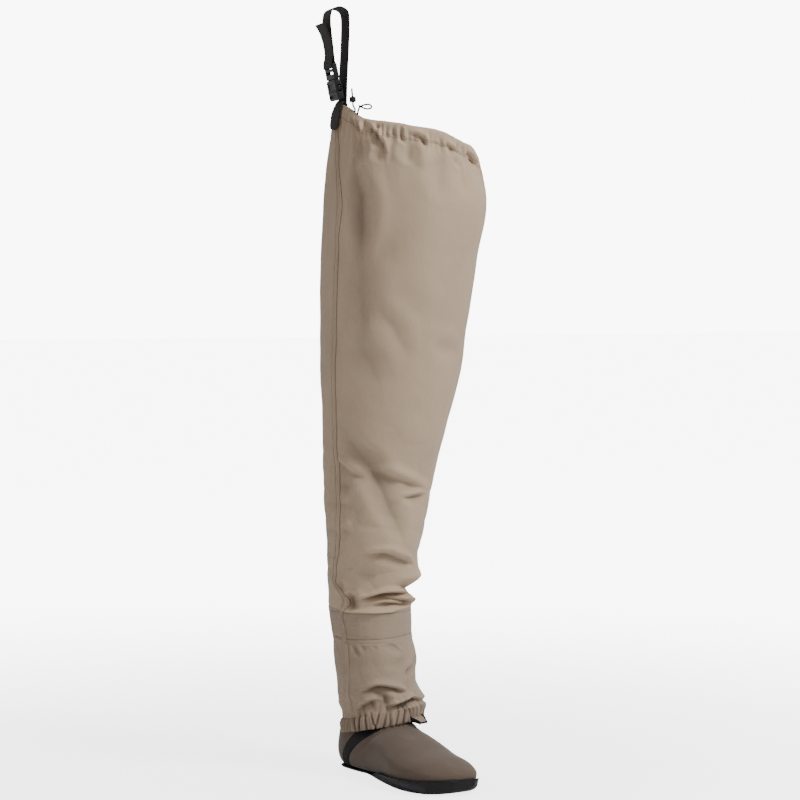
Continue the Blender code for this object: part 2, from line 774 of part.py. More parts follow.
def make_strap(wader):
    """Belt loop from the anchor over the top to the buckle, and its free tail."""
    top_out, top_up = plug_top()
    inner = [(out * LOOP_RISE, up * LOOP_RISE) for out, up in INNER_STRAND]
    outer = [(out * LOOP_RISE, up * LOOP_RISE) for out, up in OUTER_STRAND]
    outer.append((top_out, top_up + GAP))
    middle = (outer[0][0] + inner[-1][0]) / 2
    arc = []
    for angle in (155, 125, 90, 55, 25):
        a = math.radians(angle)
        arc.append((
            middle + LOOP_RADIUS * math.cos(a),
            LOOP_RISE - LOOP_RADIUS + LOOP_RADIUS * math.sin(a),
        ))
    line = smooth_line(inner + arc + outer, 3)
    wader.piece("strap_loop", webbing("strap_loop", line), "webbing")
    beside = WEBBING_THICKNESS + 2 * GAP
    tail = [(top_out + beside, top_up + GAP)]
    tail += [(out * LOOP_RISE, up * LOOP_RISE) for out, up in TAIL_LINE]
    wader.piece("strap_tail", webbing("strap_tail", smooth_line(tail, 3)), "webbing")


def make_anchor(wader):
    """Webbing tab folded over the rim at the outseam."""
    outside = CASING_PROUD + GAP + ANCHOR_THICKNESS
    inside = -CASING_INWARD - GAP - ANCHOR_THICKNESS
    rings = []
    span = math.degrees(WEBBING_WIDTH / 2 / (THIGH_WIDTH * 0.43))
    for share in (-1.0, -0.8, -0.5, 0.0, 0.5, 0.8, 1.0):
        turn = ANCHOR_TURN + share * span
        rim = rim_height(turn)
        drop = ANCHOR_DROP * (1.0 - 0.22 * abs(share) ** 4)
        over = GAP + ANCHOR_THICKNESS
        profile = (
            (outside, -drop), (outside, ANCHOR_RISE), (outside - ANCHOR_THICKNESS, ANCHOR_RISE),
            (outside - ANCHOR_THICKNESS, over), (inside * 0.7, over), (inside, -0.001),
            (inside, -drop),
        )
        rings.append([leg_point(turn, rim + up, out) for out, up in profile])
    anchor = wader.piece("strap_anchor", loft("strap_anchor", rings), "webbing")
    room = wader.cutter("anchor_room", casing_mesh("anchor_room", GAP, -2.0))
    combine(anchor, room, "DIFFERENCE")


def buckle_base():
    """Out and up distances of the middle of the buckle's lower end, over the anchor."""
    return BUCKLE_OUT, ANCHOR_RISE + GAP


def plug_top():
    """Out and up distances of the middle of the plug's upper end."""
    lean = math.radians(BUCKLE_LEAN)
    height = SOCKET_HEIGHT + GAP + PLUG_HEIGHT
    out, up = buckle_base()
    rise = BUCKLE_THICKNESS / 2 * math.sin(lean)
    return out + height * math.sin(lean), up + rise + height * math.cos(lean)


def buckle_place():
    """Where the buckle stands on the outer strand, leaning outwards."""
    lean = math.radians(BUCKLE_LEAN)
    out, up = buckle_base()
    base = strap_point(out, up + BUCKLE_THICKNESS / 2 * math.sin(lean))
    away, side = heading(STRAP_TURN + 90.0), heading(STRAP_TURN)
    frame = Matrix((side, away, Vector((0, 0, 1)))).transposed().to_4x4()
    return Matrix.Translation(base) @ frame @ Matrix.Rotation(-lean, 4, "X")


def make_buckle(wader):
    """Side-release buckle: the socket below, the plug with its webbing bars above."""
    place = buckle_place()
    wall = 0.0022
    socket_size = (BUCKLE_WIDTH, BUCKLE_THICKNESS, SOCKET_HEIGHT)
    socket = wader.piece(
        "buckle_socket",
        box_mesh("buckle_socket", socket_size, (0, 0, SOCKET_HEIGHT / 2), bevel=0.0014),
        "plastic",
    )
    hollow = (BUCKLE_WIDTH - 4 * wall, BUCKLE_THICKNESS - 2 * wall, SOCKET_HEIGHT)
    window = (BUCKLE_WIDTH * 1.2, BUCKLE_THICKNESS - 2 * wall, SOCKET_HEIGHT * 0.34)
    slot = (BUCKLE_WIDTH - 4 * wall, BUCKLE_THICKNESS * 1.5, 0.003)
    cuts = (
        ("socket_hollow", hollow, (0, 0, SOCKET_HEIGHT * 0.5 + 0.0095)),
        ("socket_window", window, (0, 0, SOCKET_HEIGHT * 0.60)),
        ("socket_slot", slot, (0, 0, 0.0045)),
    )
    for name, size, centre in cuts:
        cutter = wader.cutter(name, box_mesh(name, size, centre))
        cutter.matrix_world = place
        combine(socket, cutter, "DIFFERENCE")
    plug_base = SOCKET_HEIGHT + GAP
    plug_size = (BUCKLE_WIDTH, BUCKLE_THICKNESS * 0.8, PLUG_HEIGHT)
    plug = wader.piece(
        "buckle_plug",
        box_mesh("buckle_plug", plug_size, (0, 0, plug_base + PLUG_HEIGHT / 2), bevel=0.0012),
        "plastic",
    )
    for share in (0.42, 0.74):
        name = f"plug_slot_{round(share * 100)}"
        cutter = wader.cutter(name, box_mesh(name, slot, (0, 0, plug_base + PLUG_HEIGHT * share)))
        cutter.matrix_world = place
        combine(plug, cutter, "DIFFERENCE")
    prong_depth = SOCKET_HEIGHT * 0.52
    thin = BUCKLE_THICKNESS - 2 * wall - 2 * GAP
    for side in (-1, 0, 1):
        name = f"prong_{side + 1}"
        spot = side * (BUCKLE_WIDTH / 2 - 2 * wall - 0.0030)
        size = (0.0045, thin, prong_depth + 0.002)
        prong = wader.cutter(
            name, box_mesh(name, size, (spot, 0, plug_base - prong_depth / 2 + 0.001))
        )
        prong.matrix_world = place
        combine(plug, prong, "UNION")
    socket.matrix_world = place
    plug.matrix_world = place


def cord_points(route):
    """Points of a cord from its turns, heights over the rim and distances outwards."""
    return [leg_point(turn, rim_height(turn) + up, out) for turn, up, out in route]


def make_cord(wader, name, points):
    """Round cord with closed ends through points."""
    curve = bpy.data.curves.new(name, "CURVE")
    curve.dimensions = "3D"
    curve.bevel_depth = CORD_DIAMETER / 2
    curve.bevel_resolution = 2
    curve.use_fill_caps = True
    spline = curve.splines.new("POLY")
    spline.points.add(len(points) - 1)
    for spot, point in zip(spline.points, points):
        spot.co = (*point, 1.0)
    wader.piece(name, curve, "cord")


def make_cord_lock(wader, centre, way):
    """Small turned lock that the drawcord passes through."""
    rings = []
    profile = (
        (CORD_DIAMETER / 2 + GAP, -0.5), (LOCK_RADIUS * 0.85, -0.5), (LOCK_RADIUS, -0.25),
        (LOCK_RADIUS, 0.25), (LOCK_RADIUS * 0.85, 0.5), (CORD_DIAMETER / 2 + GAP, 0.5),
    )
    turned = way.to_track_quat("Z", "Y").to_matrix()
    for k in range(16):
        angle = 2 * math.pi * k / 16
        rings.append([
            centre + turned @ Vector((r * math.cos(angle), r * math.sin(angle), up * LOCK_HEIGHT))
            for r, up in profile
        ])
    wader.piece("cord_lock", loft("cord_lock", rings, closed=True), "plastic")


def make_drawcord(wader):
    """Elastic cord that leaves the casing: one end with its lock, and a small loop."""
    route = [Vector(spot) for spot in END_ROUTE]
    points = smooth_line(cord_points(route), 2)
    make_cord(wader, "drawcord_end", points)
    before, centre, after = (cord_points(route)[LOCK_AT + k] for k in (0, 1, 2))
    make_cord_lock(wader, centre, (after - before).normalized())
    make_cord(wader, "drawcord_loop", smooth_line(cord_points(LOOP_ROUTE), 2))


def main():
    """Build the wader."""
    clear_scene()
    wader = Assembly("hip_wader")
    foot = wader.cutter("foot_form", loft("foot_form", foot_rings(GAP)))
    taped = wader.cutter("taped_form", loft("taped_form", foot_rings(2 * GAP + TAPE_THICKNESS)))
    rand_clear = wader.cutter("rand_clear", sole_form("rand_clear", 2 * GAP + RAND_THICKNESS))
    combine(rand_clear, rand_cutter(wader, "rand_clear_top", -GAP), "DIFFERENCE")
    make_leg(wader)
    make_casing(wader)
    make_side_seam(wader)
    make_bootie(wader)
    make_sole(wader, foot)
    make_seam_tape(wader, foot, rand_clear)
    make_heel_seam(wader, foot, rand_clear)
    make_guard_band(wader)
    make_gravel_guard(wader, taped)
    make_guard_hem(wader, taped)
    make_lace_hook(wader)
    make_anchor(wader)
    make_buckle(wader)
    make_strap(wader)
    make_drawcord(wader)


main()
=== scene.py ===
"""Looks of a right stocking-foot hip wader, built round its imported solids.

Metres, +Z up. The toe points along -Y and the outer side faces -X. A turn is an angle
round the leg in degrees: 0 faces the toe and 90 the outer side.
"""

import json
import logging
import math
from collections.abc import Sequence
from dataclasses import dataclass, field
from enum import Enum

import bpy
import numpy as np
from mathutils import Matrix, Vector, noise
from mathutils.bvhtree import BVHTree

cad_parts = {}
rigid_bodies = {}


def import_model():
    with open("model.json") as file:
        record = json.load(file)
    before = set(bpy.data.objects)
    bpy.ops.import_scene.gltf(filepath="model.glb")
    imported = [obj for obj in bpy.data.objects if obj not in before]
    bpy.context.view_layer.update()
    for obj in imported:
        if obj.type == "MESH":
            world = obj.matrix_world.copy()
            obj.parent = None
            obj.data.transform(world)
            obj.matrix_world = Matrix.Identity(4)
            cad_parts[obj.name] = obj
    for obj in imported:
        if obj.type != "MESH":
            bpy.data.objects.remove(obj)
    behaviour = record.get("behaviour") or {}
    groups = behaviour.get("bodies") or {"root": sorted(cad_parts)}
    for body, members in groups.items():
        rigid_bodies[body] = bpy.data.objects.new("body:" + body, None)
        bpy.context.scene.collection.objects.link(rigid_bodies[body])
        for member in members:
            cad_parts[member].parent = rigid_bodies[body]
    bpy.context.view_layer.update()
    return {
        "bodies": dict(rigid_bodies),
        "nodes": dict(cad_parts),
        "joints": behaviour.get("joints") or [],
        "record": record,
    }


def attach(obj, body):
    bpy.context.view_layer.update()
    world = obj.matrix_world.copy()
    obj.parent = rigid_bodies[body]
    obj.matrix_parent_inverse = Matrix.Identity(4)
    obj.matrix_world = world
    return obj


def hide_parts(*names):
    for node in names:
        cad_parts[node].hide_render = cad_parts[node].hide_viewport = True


LOG = logging.getLogger("wader")
BODY = "root"

COLLAR_HEIGHT = 0.905
THIGH_WIDTH = 0.223
FOOT_LENGTH = 0.267
HEEL_BACK = 0.034
INSTEP_HEIGHT = 0.092
SECTION_TURN = -31.0
BAND_TOP = 0.226
BAND_BOTTOM = 0.180
FABRIC = 0.0012
GAP = 0.0003
UP = np.array([0.0, 0.0, 1.0])
WHITE = (1.0, 1.0, 1.0, 1.0)

LEG_ROWS = (
    (0.164, 0.018, 0.159, 0.211, 0.211),
    (0.196, 0.016, 0.092, 0.231, 0.278),
    (0.224, 0.016, 0.072, 0.242, 0.287),
    (0.261, 0.011, 0.061, 0.248, 0.300),
    (0.292, 0.013, 0.074, 0.271, 0.309),
    (0.315, 0.006, 0.085, 0.275, 0.325),
    (0.352, 0.011, 0.108, 0.298, 0.343),
    (0.397, 0.025, 0.114, 0.321, 0.350),
    (0.450, 0.048, 0.112, 0.343, 0.354),
    (0.519, 0.070, 0.138, 0.378, 0.390),
    (0.604, 0.098, 0.163, 0.433, 0.422),
    (0.680, 0.115, 0.186, 0.453, 0.444),
    (0.777, 0.135, 0.210, 0.478, 0.471),
    (0.847, 0.159, 0.233, 0.498, 0.484),
    (0.907, 0.148, 0.227, 0.471, 0.471),
    (0.946, 0.152, 0.229, 0.451, 0.457),
    (0.987, 0.155, 0.231, 0.422, 0.430),
    (1.000, 0.156, 0.232, 0.415, 0.423),
)
GUARD_ROWS = (
    (0.300, 0.032, 0.176, 0.237, 0.276),
    (0.460, 0.036, 0.162, 0.242, 0.275),
    (0.520, 0.043, 0.146, 0.262, 0.278),
    (0.560, 0.036, 0.143, 0.257, 0.281),
    (0.620, 0.014, 0.141, 0.244, 0.285),
    (0.730, 0.014, 0.130, 0.242, 0.287),
    (0.840, 0.024, 0.108, 0.253, 0.291),
    (0.920, 0.020, 0.100, 0.251, 0.294),
    (1.000, 0.016, 0.092, 0.242, 0.291),
)
RIM_ROWS = (
    (-193.0, 0.085), (-165.0, 0.118), (-140.0, 0.151), (-110.0, 0.173), (-90.0, 0.168),
    (-75.0, 0.146), (-65.0, 0.130), (-49.0, 0.086), (-32.0, 0.065), (-15.0, 0.056),
    (6.0, 0.042), (15.0, 0.040), (37.0, 0.033), (58.0, 0.027), (67.0, 0.023), (73.0, 0.017),
    (82.0, 0.009), (92.0, 0.003), (101.0, 0.000), (112.0, 0.006), (125.0, 0.024),
    (142.0, 0.054), (167.0, 0.085),
)
SEAM_ROWS = (
    (0.187, 69.0), (0.204, 70.0), (0.218, 71.0), (0.226, 66.0), (0.231, 62.0), (0.238, 63.0),
    (0.248, 71.0), (0.255, 80.0), (0.262, 86.0), (0.270, 84.0), (0.308, 75.5), (0.333, 75.0),
    (0.365, 76.0), (0.405, 79.0), (0.449, 83.0), (0.561, 85.0), (0.641, 85.0), (0.716, 84.0),
    (0.748, 83.5), (0.780, 84.0), (0.805, 86.0), (0.828, 89.0), (0.850, 92.5), (0.868, 97.0),
    (0.885, 99.0),
)
GUARD_SEAM_ROWS = ((0.090, 77.5), (0.100, 77.0), (0.115, 74.5), (0.137, 71.5), (0.182, 68.0))


def srgb(red: int, green: int, blue: int) -> tuple[float, float, float, float]:
    """Turn a colour of 0 to 255 a channel into linear light.

    Args:
        red: Red channel.
        green: Green channel.
        blue: Blue channel.

    Returns:
        Linear red, green, blue and an alpha of one.
    """
    made = []
    for channel in (red, green, blue):
        share = channel / 255.0
        made.append(share / 12.92 if share <= 0.04045 else ((share + 0.055) / 1.055) ** 2.4)
    return (made[0], made[1], made[2], 1.0)


def wrap(turn: np.ndarray) -> np.ndarray:
    """Fold turns into the half turn on each side of the toe."""
    return (turn + 180.0) % 360.0 - 180.0


def soft_step(low: float, high: float, value: np.ndarray) -> np.ndarray:
    """Rise smoothly from 0 to 1 between two values.

    Args:
        low: Value where the step starts.
        high: Value where the step ends.
        value: Where it is read.

    Returns:
        Shares from 0 to 1.
    """
    share = np.clip((value - low) / (high - low), 0.0, 1.0)
    return share * share * (3.0 - 2.0 * share)


def nearest(share: np.ndarray, steps: int) -> np.ndarray:
    """Turn shares of a length into whole numbers of its steps."""
    return np.round(share * steps).astype(int)


def outward(turn: np.ndarray | float) -> np.ndarray:
    """Give the level directions that point out of the leg at turns."""
    angle = np.radians(turn)
    return np.stack([-np.sin(angle), -np.cos(angle), 0.0 * angle], axis=-1)


@dataclass(frozen=True)
class SmoothTable:
    """Rows of numbers that are read between, on smooth curves."""

    rows: tuple[tuple[float, ...], ...]

    def read(self, column: int, place: np.ndarray) -> np.ndarray:
        """Read a column at places in the first column.

        Args:
            column: Which column to read.
            place: Places in the first column's measure.

        Returns:
            The values there.
        """
        grid = np.array(self.rows)
        key, value = grid[:, 0], grid[:, column]
        at = np.clip(np.asarray(place, float), key[0], key[-1])
        i = np.clip(np.searchsorted(key, at, side="right") - 1, 0, len(key) - 2)
        before, after = np.maximum(i - 1, 0), np.minimum(i + 2, len(key) - 1)
        span = key[i + 1] - key[i]
        t = (at - key[i]) / span
        slope_a = (value[i + 1] - value[before]) / (key[i + 1] - key[before]) * span
        slope_b = (value[after] - value[i]) / (key[after] - key[i]) * span
        return (
            value[i] * (2 * t**3 - 3 * t**2 + 1)
            + slope_a * (t**3 - 2 * t**2 + t)
            + value[i + 1] * (3 * t**2 - 2 * t**3)
            + slope_b * (t**3 - t**2)
        )


@dataclass(frozen=True)
class TubeForm:
    """Main form of a fabric tube: oval sections at heights."""

    table: SmoothTable
    tall: float

    def point(self, turn: np.ndarray, high: np.ndarray, out: np.ndarray | float) -> np.ndarray:
        """Find points of the tube, pushed out by a distance.

        Args:
            turn: Turns in degrees.
            high: Heights.
            out: Distances outwards.

        Returns:
            One point a row.
        """
        share = high / self.tall
        across = THIGH_WIDTH * self.table.read(3, share) + out
        deep = THIGH_WIDTH * self.table.read(4, share) + out
        way_x, way_y = -np.sin(np.radians(turn)), -np.cos(np.radians(turn))
        axis = math.radians(SECTION_TURN)
        u = way_x * math.cos(axis) + way_y * math.sin(axis)
        v = way_x * math.sin(axis) - way_y * math.cos(axis)
        reach = 1.0 / np.hypot(u / across, v / deep)
        return np.stack([
            THIGH_WIDTH * self.table.read(1, share) + way_x * reach,
            -THIGH_WIDTH * self.table.read(2, share) + way_y * reach,
            high + 0.0 * reach,
        ], axis=-1)

    def girth(self, high: np.ndarray) -> np.ndarray:
        """Give the mean radius at heights."""
        share = high / self.tall
        return THIGH_WIDTH * (self.table.read(3, share) + self.table.read(4, share)) / 2

    def turn_of(self, points: np.ndarray) -> np.ndarray:
        """Give the turns of points on the tube.

        Args:
            points: Points, one a row.

        Returns:
            Their turns in degrees.
        """
        share = points[:, 2] / self.tall
        x = THIGH_WIDTH * self.table.read(1, share) - points[:, 0]
        y = -THIGH_WIDTH * self.table.read(2, share) - points[:, 1]
        return np.degrees(np.arctan2(x, y))


LEG = TubeForm(SmoothTable(LEG_ROWS), COLLAR_HEIGHT)
GUARD = TubeForm(SmoothTable(GUARD_ROWS), BAND_BOTTOM)
RIM = SmoothTable(RIM_ROWS)
SEAM = SmoothTable(SEAM_ROWS)


def rim_height(turn: np.ndarray) -> np.ndarray:
    """Give the height of the collar's rim at turns."""
    return COLLAR_HEIGHT * (1.0 - RIM.read(1, (turn + 193.0) % 360.0 - 193.0))


def band_low(turn: np.ndarray) -> np.ndarray:
    """Give the height of the band's lower edge, which climbs towards the inner side."""
    turn = wrap(turn)
    return BAND_BOTTOM + 0.0042 * soft_step(60.0, -30.0, turn) * soft_step(-150.0, -70.0, turn)


def hem_bottom(turn: np.ndarray) -> np.ndarray:
    """Give the height of the hem's lower edge, which climbs towards the front."""
    return 0.065 + 0.0115 * np.cos(np.radians(turn + 30.0))


class FoldKind(Enum):
    """How a fold's section runs."""

    TROUGH = "trough"
    RIDGE = "ridge"
    LAP = "lap"
    PEAK = "peak"


def fold_section(kind: FoldKind, s: np.ndarray) -> np.ndarray:
    """Give the height of a fold's section, for a depth of one.

    Args:
        kind: How the section runs.
        s: Distance from the fold's line in widths, positive above it.

    Returns:
        Heights.
    """
    away = np.abs(s)
    if kind is FoldKind.TROUGH:
        return -np.exp(-1.1 * away**1.3) + 0.40 * np.exp(-(((away - 2.0) / 0.9) ** 2))
    if kind is FoldKind.RIDGE:
        return np.exp(-0.8 * away**2) - 0.25 * np.exp(-(((away - 2.1) / 0.8) ** 2))
    if kind is FoldKind.PEAK:
        return np.clip(1.06 - np.hypot(away, 0.25) * 0.86, 0.0, None)
    roll = 0.85 * (1.0 - np.exp(-3.0 * away**2)) * np.exp(-(((away - 1.2) / 1.1) ** 2))
    above = -np.exp(-2.3 * away) + roll
    below = -np.exp(-0.75 * away**1.2) + 0.14 * np.exp(-(((away - 3.2) / 1.2) ** 2))
    return np.where(s > 0.0, above, below)


@dataclass(frozen=True)
class Fold:
    """A fold along a line of spots, each given as a turn and a height."""

    path: tuple[tuple[float, float], ...]
    width: float
    depth: float
    kind: FoldKind = FoldKind.TROUGH

    def offset(self, form: TubeForm, turn: np.ndarray, high: np.ndarray) -> np.ndarray:
        """Say how far the fold moves the cloth outwards.

        Args:
            form: Tube that the fold lies on.
            turn: Turns in degrees.
            high: Heights.

        Returns:
            Distances outwards.
        """
        made = np.zeros_like(turn)
        spots = np.array(self.path)
        spots[:, 0] = np.degrees(np.unwrap(np.radians(spots[:, 0])))
        middle = spots.mean(axis=0)
        reach = float(form.girth(middle[1]))
        line = (spots - middle) * (math.radians(reach), 1.0)
        if line[-1, 0] < line[0, 0]:
            line = line[::-1]
        if len(line) > 2:
            line = smooth_line(line, 4)
        x = np.radians(wrap(turn - middle[0])) * reach
        y = high - middle[1]
        margin = 4.5 * self.width
        low, top = line.min(axis=0) - margin, line.max(axis=0) + margin
        near = (x > low[0]) & (x < top[0]) & (y > low[1]) & (y < top[1])
        if not near.any():
            return made
        x, y = x[near], y[near]
        run = along_line(line)
        overrun = 0.2 * run[-1]
        best, signed, along = np.full_like(x, 9.0), np.zeros_like(x), np.zeros_like(x)
        for k in range(len(line) - 1):
            length = run[k + 1] - run[k]
            way = (line[k + 1] - line[k]) / length
            t = (x - line[k, 0]) * way[0] + (y - line[k, 1]) * way[1]
            first, last = k == 0, k == len(line) - 2
            t = np.clip(t, -overrun if first else 0.0, length + overrun if last else length)
            dx, dy = x - line[k, 0] - way[0] * t, y - line[k, 1] - way[1] * t
            away = np.hypot(dx, dy)
            closer = away < best
            side = np.where(dy * way[0] - dx * way[1] >= 0.0, away, -away)
            best = np.where(closer, away, best)
            signed = np.where(closer, side, signed)
            along = np.where(closer, run[k] + t, along)
        share = 2.0 * along / run[-1] - 1.0
        taper = np.clip(1.0 - np.abs(share / 1.22) ** 2.2, 0.0, 1.0) ** 1.4
        s = signed / (self.width * (0.6 + 0.4 * taper))
        fade = soft_step(4.5, 3.2, np.abs(s))
        made[near] = self.depth * taper * fade * fold_section(self.kind, s)
        return made


RIDGE, LAP, PEAK = FoldKind.RIDGE, FoldKind.LAP, FoldKind.PEAK

LEG_FOLDS = (
    Fold(((79, 0.886), (75, 0.876), (74, 0.864)), 0.0030, 0.0036),
    Fold(((72, 0.884), (67, 0.864)), 0.0028, 0.0034, LAP),
    Fold(((66, 0.882), (63, 0.872)), 0.0024, 0.0022),
    Fold(((61, 0.874), (51, 0.854), (45, 0.837)), 0.0042, 0.0056, LAP),
    Fold(((59, 0.868), (47, 0.871)), 0.0024, 0.0024),
    Fold(((55, 0.880), (53, 0.868)), 0.0026, 0.0020),
    Fold(((34, 0.873), (34, 0.858), (30, 0.849)), 0.0030, 0.0034),
    Fold(((41, 0.868), (39, 0.858)), 0.0026, 0.0018),
    Fold(((27, 0.861), (20, 0.858), (14, 0.845)), 0.0036, 0.0042, LAP),
    Fold(((4, 0.856), (3, 0.836)), 0.0032, 0.0028),
    Fold(((8, 0.852), (7, 0.838)), 0.0026, 0.0016),
    Fold(((0, 0.850), (-10, 0.838)), 0.0034, 0.0038, LAP),
    Fold(((-7, 0.830), (-14, 0.818)), 0.0044, 0.0024),
    Fold(((-16, 0.846), (-19, 0.836)), 0.0028, 0.0020),
    Fold(((-24, 0.840), (-36, 0.823)), 0.0036, 0.0060, LAP),
    Fold(((74, 0.864), (70, 0.845), (72, 0.822)), 0.0090, 0.0042),
    Fold(((64, 0.852), (64, 0.826)), 0.0070, 0.0026),
    Fold(((51, 0.842), (50, 0.824)), 0.0060, 0.0028),
    Fold(((24, 0.853), (29, 0.822)), 0.0100, 0.0042),
    Fold(((15, 0.847), (17, 0.816)), 0.0090, 0.0026, RIDGE),
    Fold(((1, 0.836), (7, 0.772)), 0.0130, 0.0030),
    Fold(((-14, 0.820), (-16, 0.780)), 0.0100, 0.0026),
    Fold(((71, 0.822), (66, 0.754), (62, 0.700)), 0.0165, 0.0088),
    Fold(((64, 0.700), (60, 0.640), (54, 0.590)), 0.0200, 0.0040),
    Fold(((20, 0.760), (8, 0.640)), 0.0280, 0.0030, RIDGE),
    Fold(((66, 0.600), (40, 0.530)), 0.0180, 0.0032),
    Fold(((46, 0.632), (19, 0.567)), 0.0120, 0.0028),
    Fold(((0, 0.583), (-33, 0.574)), 0.0100, 0.0020),
    Fold(
        ((74, 0.469), (57, 0.439), (41, 0.417), (27, 0.386), (17, 0.362), (0, 0.322)), 0.0125, 0.0056
    ),
    Fold(((40, 0.413), (8, 0.399), (-28, 0.385)), 0.0075, 0.0048, LAP),
    Fold(((5, 0.377), (-28, 0.379)), 0.0045, 0.0058, LAP),
    Fold(((80, 0.424), (64, 0.412), (48, 0.404)), 0.0070, 0.0040, LAP),
    Fold(((76, 0.395), (60, 0.390)), 0.0090, 0.0032),
    Fold(((70, 0.338), (57, 0.331)), 0.0060, 0.0024, LAP),
    Fold(((38, 0.303), (13, 0.301), (-26, 0.285)), 0.0052, 0.0066, LAP),
    Fold(((48, 0.278), (26, 0.272)), 0.0090, 0.0022),
    Fold(((-20, 0.2770), (-59, 0.2735), (-98, 0.2770)), 0.0230, 0.0072, PEAK),
    Fold(((-4, 0.2565), (-26, 0.2525), (-59, 0.2475), (-94, 0.2490)), 0.0085, 0.0100),
    Fold(((-36, 0.2370), (-59, 0.2350), (-88, 0.2370)), 0.0060, 0.0040, RIDGE),
    Fold(((42, 0.2400), (12, 0.2470), (-28, 0.2440)), 0.0034, 0.0098, LAP),
    Fold(((8, 0.2410), (-20, 0.2350), (-52, 0.2300)), 0.0036, 0.0096, LAP),
    Fold(((26, 0.2335), (7, 0.2345), (-18, 0.2300)), 0.0028, 0.0058, LAP),
    Fold(((60, 0.2460), (54, 0.2380), (51, 0.2260)), 0.0070, 0.0080),
    Fold(((76, 0.2620), (66, 0.2500)), 0.0050, 0.0030),
    Fold(((-76, 0.775), (-88, 0.700)), 0.0120, 0.0026),
    Fold(((-100, 0.740), (-110, 0.670)), 0.0110, 0.0034, LAP),
    Fold(((-126, 0.756), (-120, 0.690)), 0.0090, 0.0030),
    Fold(((-150, 0.780), (-142, 0.720)), 0.0100, 0.0032, LAP),
    Fold(((-100, 0.640), (-84, 0.560)), 0.0160, 0.0034),
    Fold(((-136, 0.610), (-108, 0.540)), 0.0130, 0.0044, LAP),
    Fold(((-80, 0.520), (-112, 0.478)), 0.0110, 0.0040, LAP),
    Fold(((-82, 0.450), (-124, 0.428)), 0.0090, 0.0046, LAP),
    Fold(((-80, 0.392), (-118, 0.376)), 0.0090, 0.0040, LAP),
    Fold(((-84, 0.345), (-122, 0.334)), 0.0080, 0.0040, LAP),
    Fold(((-86, 0.312), (-116, 0.304)), 0.0070, 0.0036),
    Fold(((-176, 0.552), (-214, 0.534)), 0.0120, 0.0046, LAP),
    Fold(((-146, 0.500), (-176, 0.488), (-212, 0.494)), 0.0100, 0.0060, LAP),
    Fold(((-150, 0.456), (-182, 0.448), (-210, 0.452)), 0.0090, 0.0056, LAP),
    Fold(((-160, 0.412), (-206, 0.402)), 0.0090, 0.0046, LAP),
    Fold(((-152, 0.360), (-204, 0.350)), 0.0080, 0.0040, LAP),
    Fold(((-142, 0.302), (-176, 0.292), (-206, 0.296)), 0.0070, 0.0048, LAP),
    Fold(((-128, 0.270), (-196, 0.264)), 0.0056, 0.0050, LAP),
    Fold(((-118, 0.245), (-160, 0.240), (-200, 0.243)), 0.0044, 0.0046, LAP),
    Fold(((132, 0.840), (138, 0.770)), 0.0110, 0.0030, LAP),
    Fold(((160, 0.800), (157, 0.735)), 0.0120, 0.0030),
    Fold(((178, 0.775), (171, 0.700)), 0.0110, 0.0030, LAP),
    Fold(((134, 0.720), (146, 0.610)), 0.0200, 0.0034),
    Fold(((-168, 0.690), (-154, 0.610)), 0.0160, 0.0034),
)

GUARD_FOLDS = (
    Fold(((58, 0.183), (50, 0.164)), 0.0030, 0.0026),
    Fold(((44, 0.184), (43, 0.170)), 0.0026, 0.0014),
    Fold(((31, 0.184), (28, 0.172)), 0.0026, 0.0012),
    Fold(((19, 0.188), (6, 0.179), (-8, 0.167)), 0.0040, 0.0024, LAP),
    Fold(((7, 0.187), (-10, 0.173)), 0.0030, 0.0018),
    Fold(((16, 0.152), (-10, 0.158)), 0.0060, 0.0018),
    Fold(((-13, 0.140), (-28, 0.152), (-41, 0.164)), 0.0040, 0.0034, LAP),
    Fold(((-8, 0.136), (-30, 0.147)), 0.0040, 0.0024),
    Fold(((48, 0.1180), (25, 0.1250), (-9, 0.1150)), 0.0036, 0.0072, LAP),
    Fold(((35, 0.1190), (22, 0.1090), (29, 0.0970)), 0.0058, 0.0050),
    Fold(((60, 0.0930), (48, 0.1015), (33, 0.1070)), 0.0030, 0.0062, LAP),
    Fold(((41, 0.1070), (43, 0.0920)), 0.0030, 0.0028),
    Fold(((22, 0.0960), (2, 0.1000), (-17, 0.1045), (-36, 0.1010)), 0.0036, 0.0094, LAP),
    Fold(((-30, 0.1110), (-59, 0.1085), (-92, 0.1100)), 0.0130, 0.0056, PEAK),
    Fold(((-34, 0.0990), (-59, 0.0965), (-90, 0.0970)), 0.0028, 0.0036),
    Fold(((10, 0.1100), (2, 0.1030)), 0.0040, 0.0020),
    Fold(((-82, 0.183), (-90, 0.160)), 0.0040, 0.0020),
    Fold(((-92, 0.132), (-124, 0.124)), 0.0055, 0.0034, LAP),
    Fold(((-100, 0.1060), (-140, 0.1000)), 0.0040, 0.0044, LAP),
    Fold(((-118, 0.183), (-126, 0.158)), 0.0040, 0.0022, LAP),
    Fold(((-150, 0.134), (-192, 0.126)), 0.0055, 0.0036, LAP),
    Fold(((-158, 0.0950), (-196, 0.0880)), 0.0040, 0.0040, LAP),
    Fold(((170, 0.182), (162, 0.156)), 0.0045, 0.0022, LAP),
    Fold(((88, 0.180), (90, 0.164)), 0.0030, 0.0012),
)


def deselect_all() -> None:
    """Leave edit mode and deselect every object."""
    if bpy.context.object and bpy.context.object.mode != "OBJECT":
        bpy.ops.object.mode_set(mode="OBJECT")
    bpy.ops.object.select_all(action="DESELECT")


def pick(piece: bpy.types.Object) -> None:
    """Make one object the only one that is selected, and active."""
    deselect_all()
    piece.select_set(True)
    bpy.context.view_layer.objects.active = piece


def edit_all(piece: bpy.types.Object) -> None:
    """Open a piece in edit mode with all of it selected."""
    pick(piece)
    bpy.ops.object.mode_set(mode="EDIT")
    bpy.ops.mesh.select_all(action="SELECT")


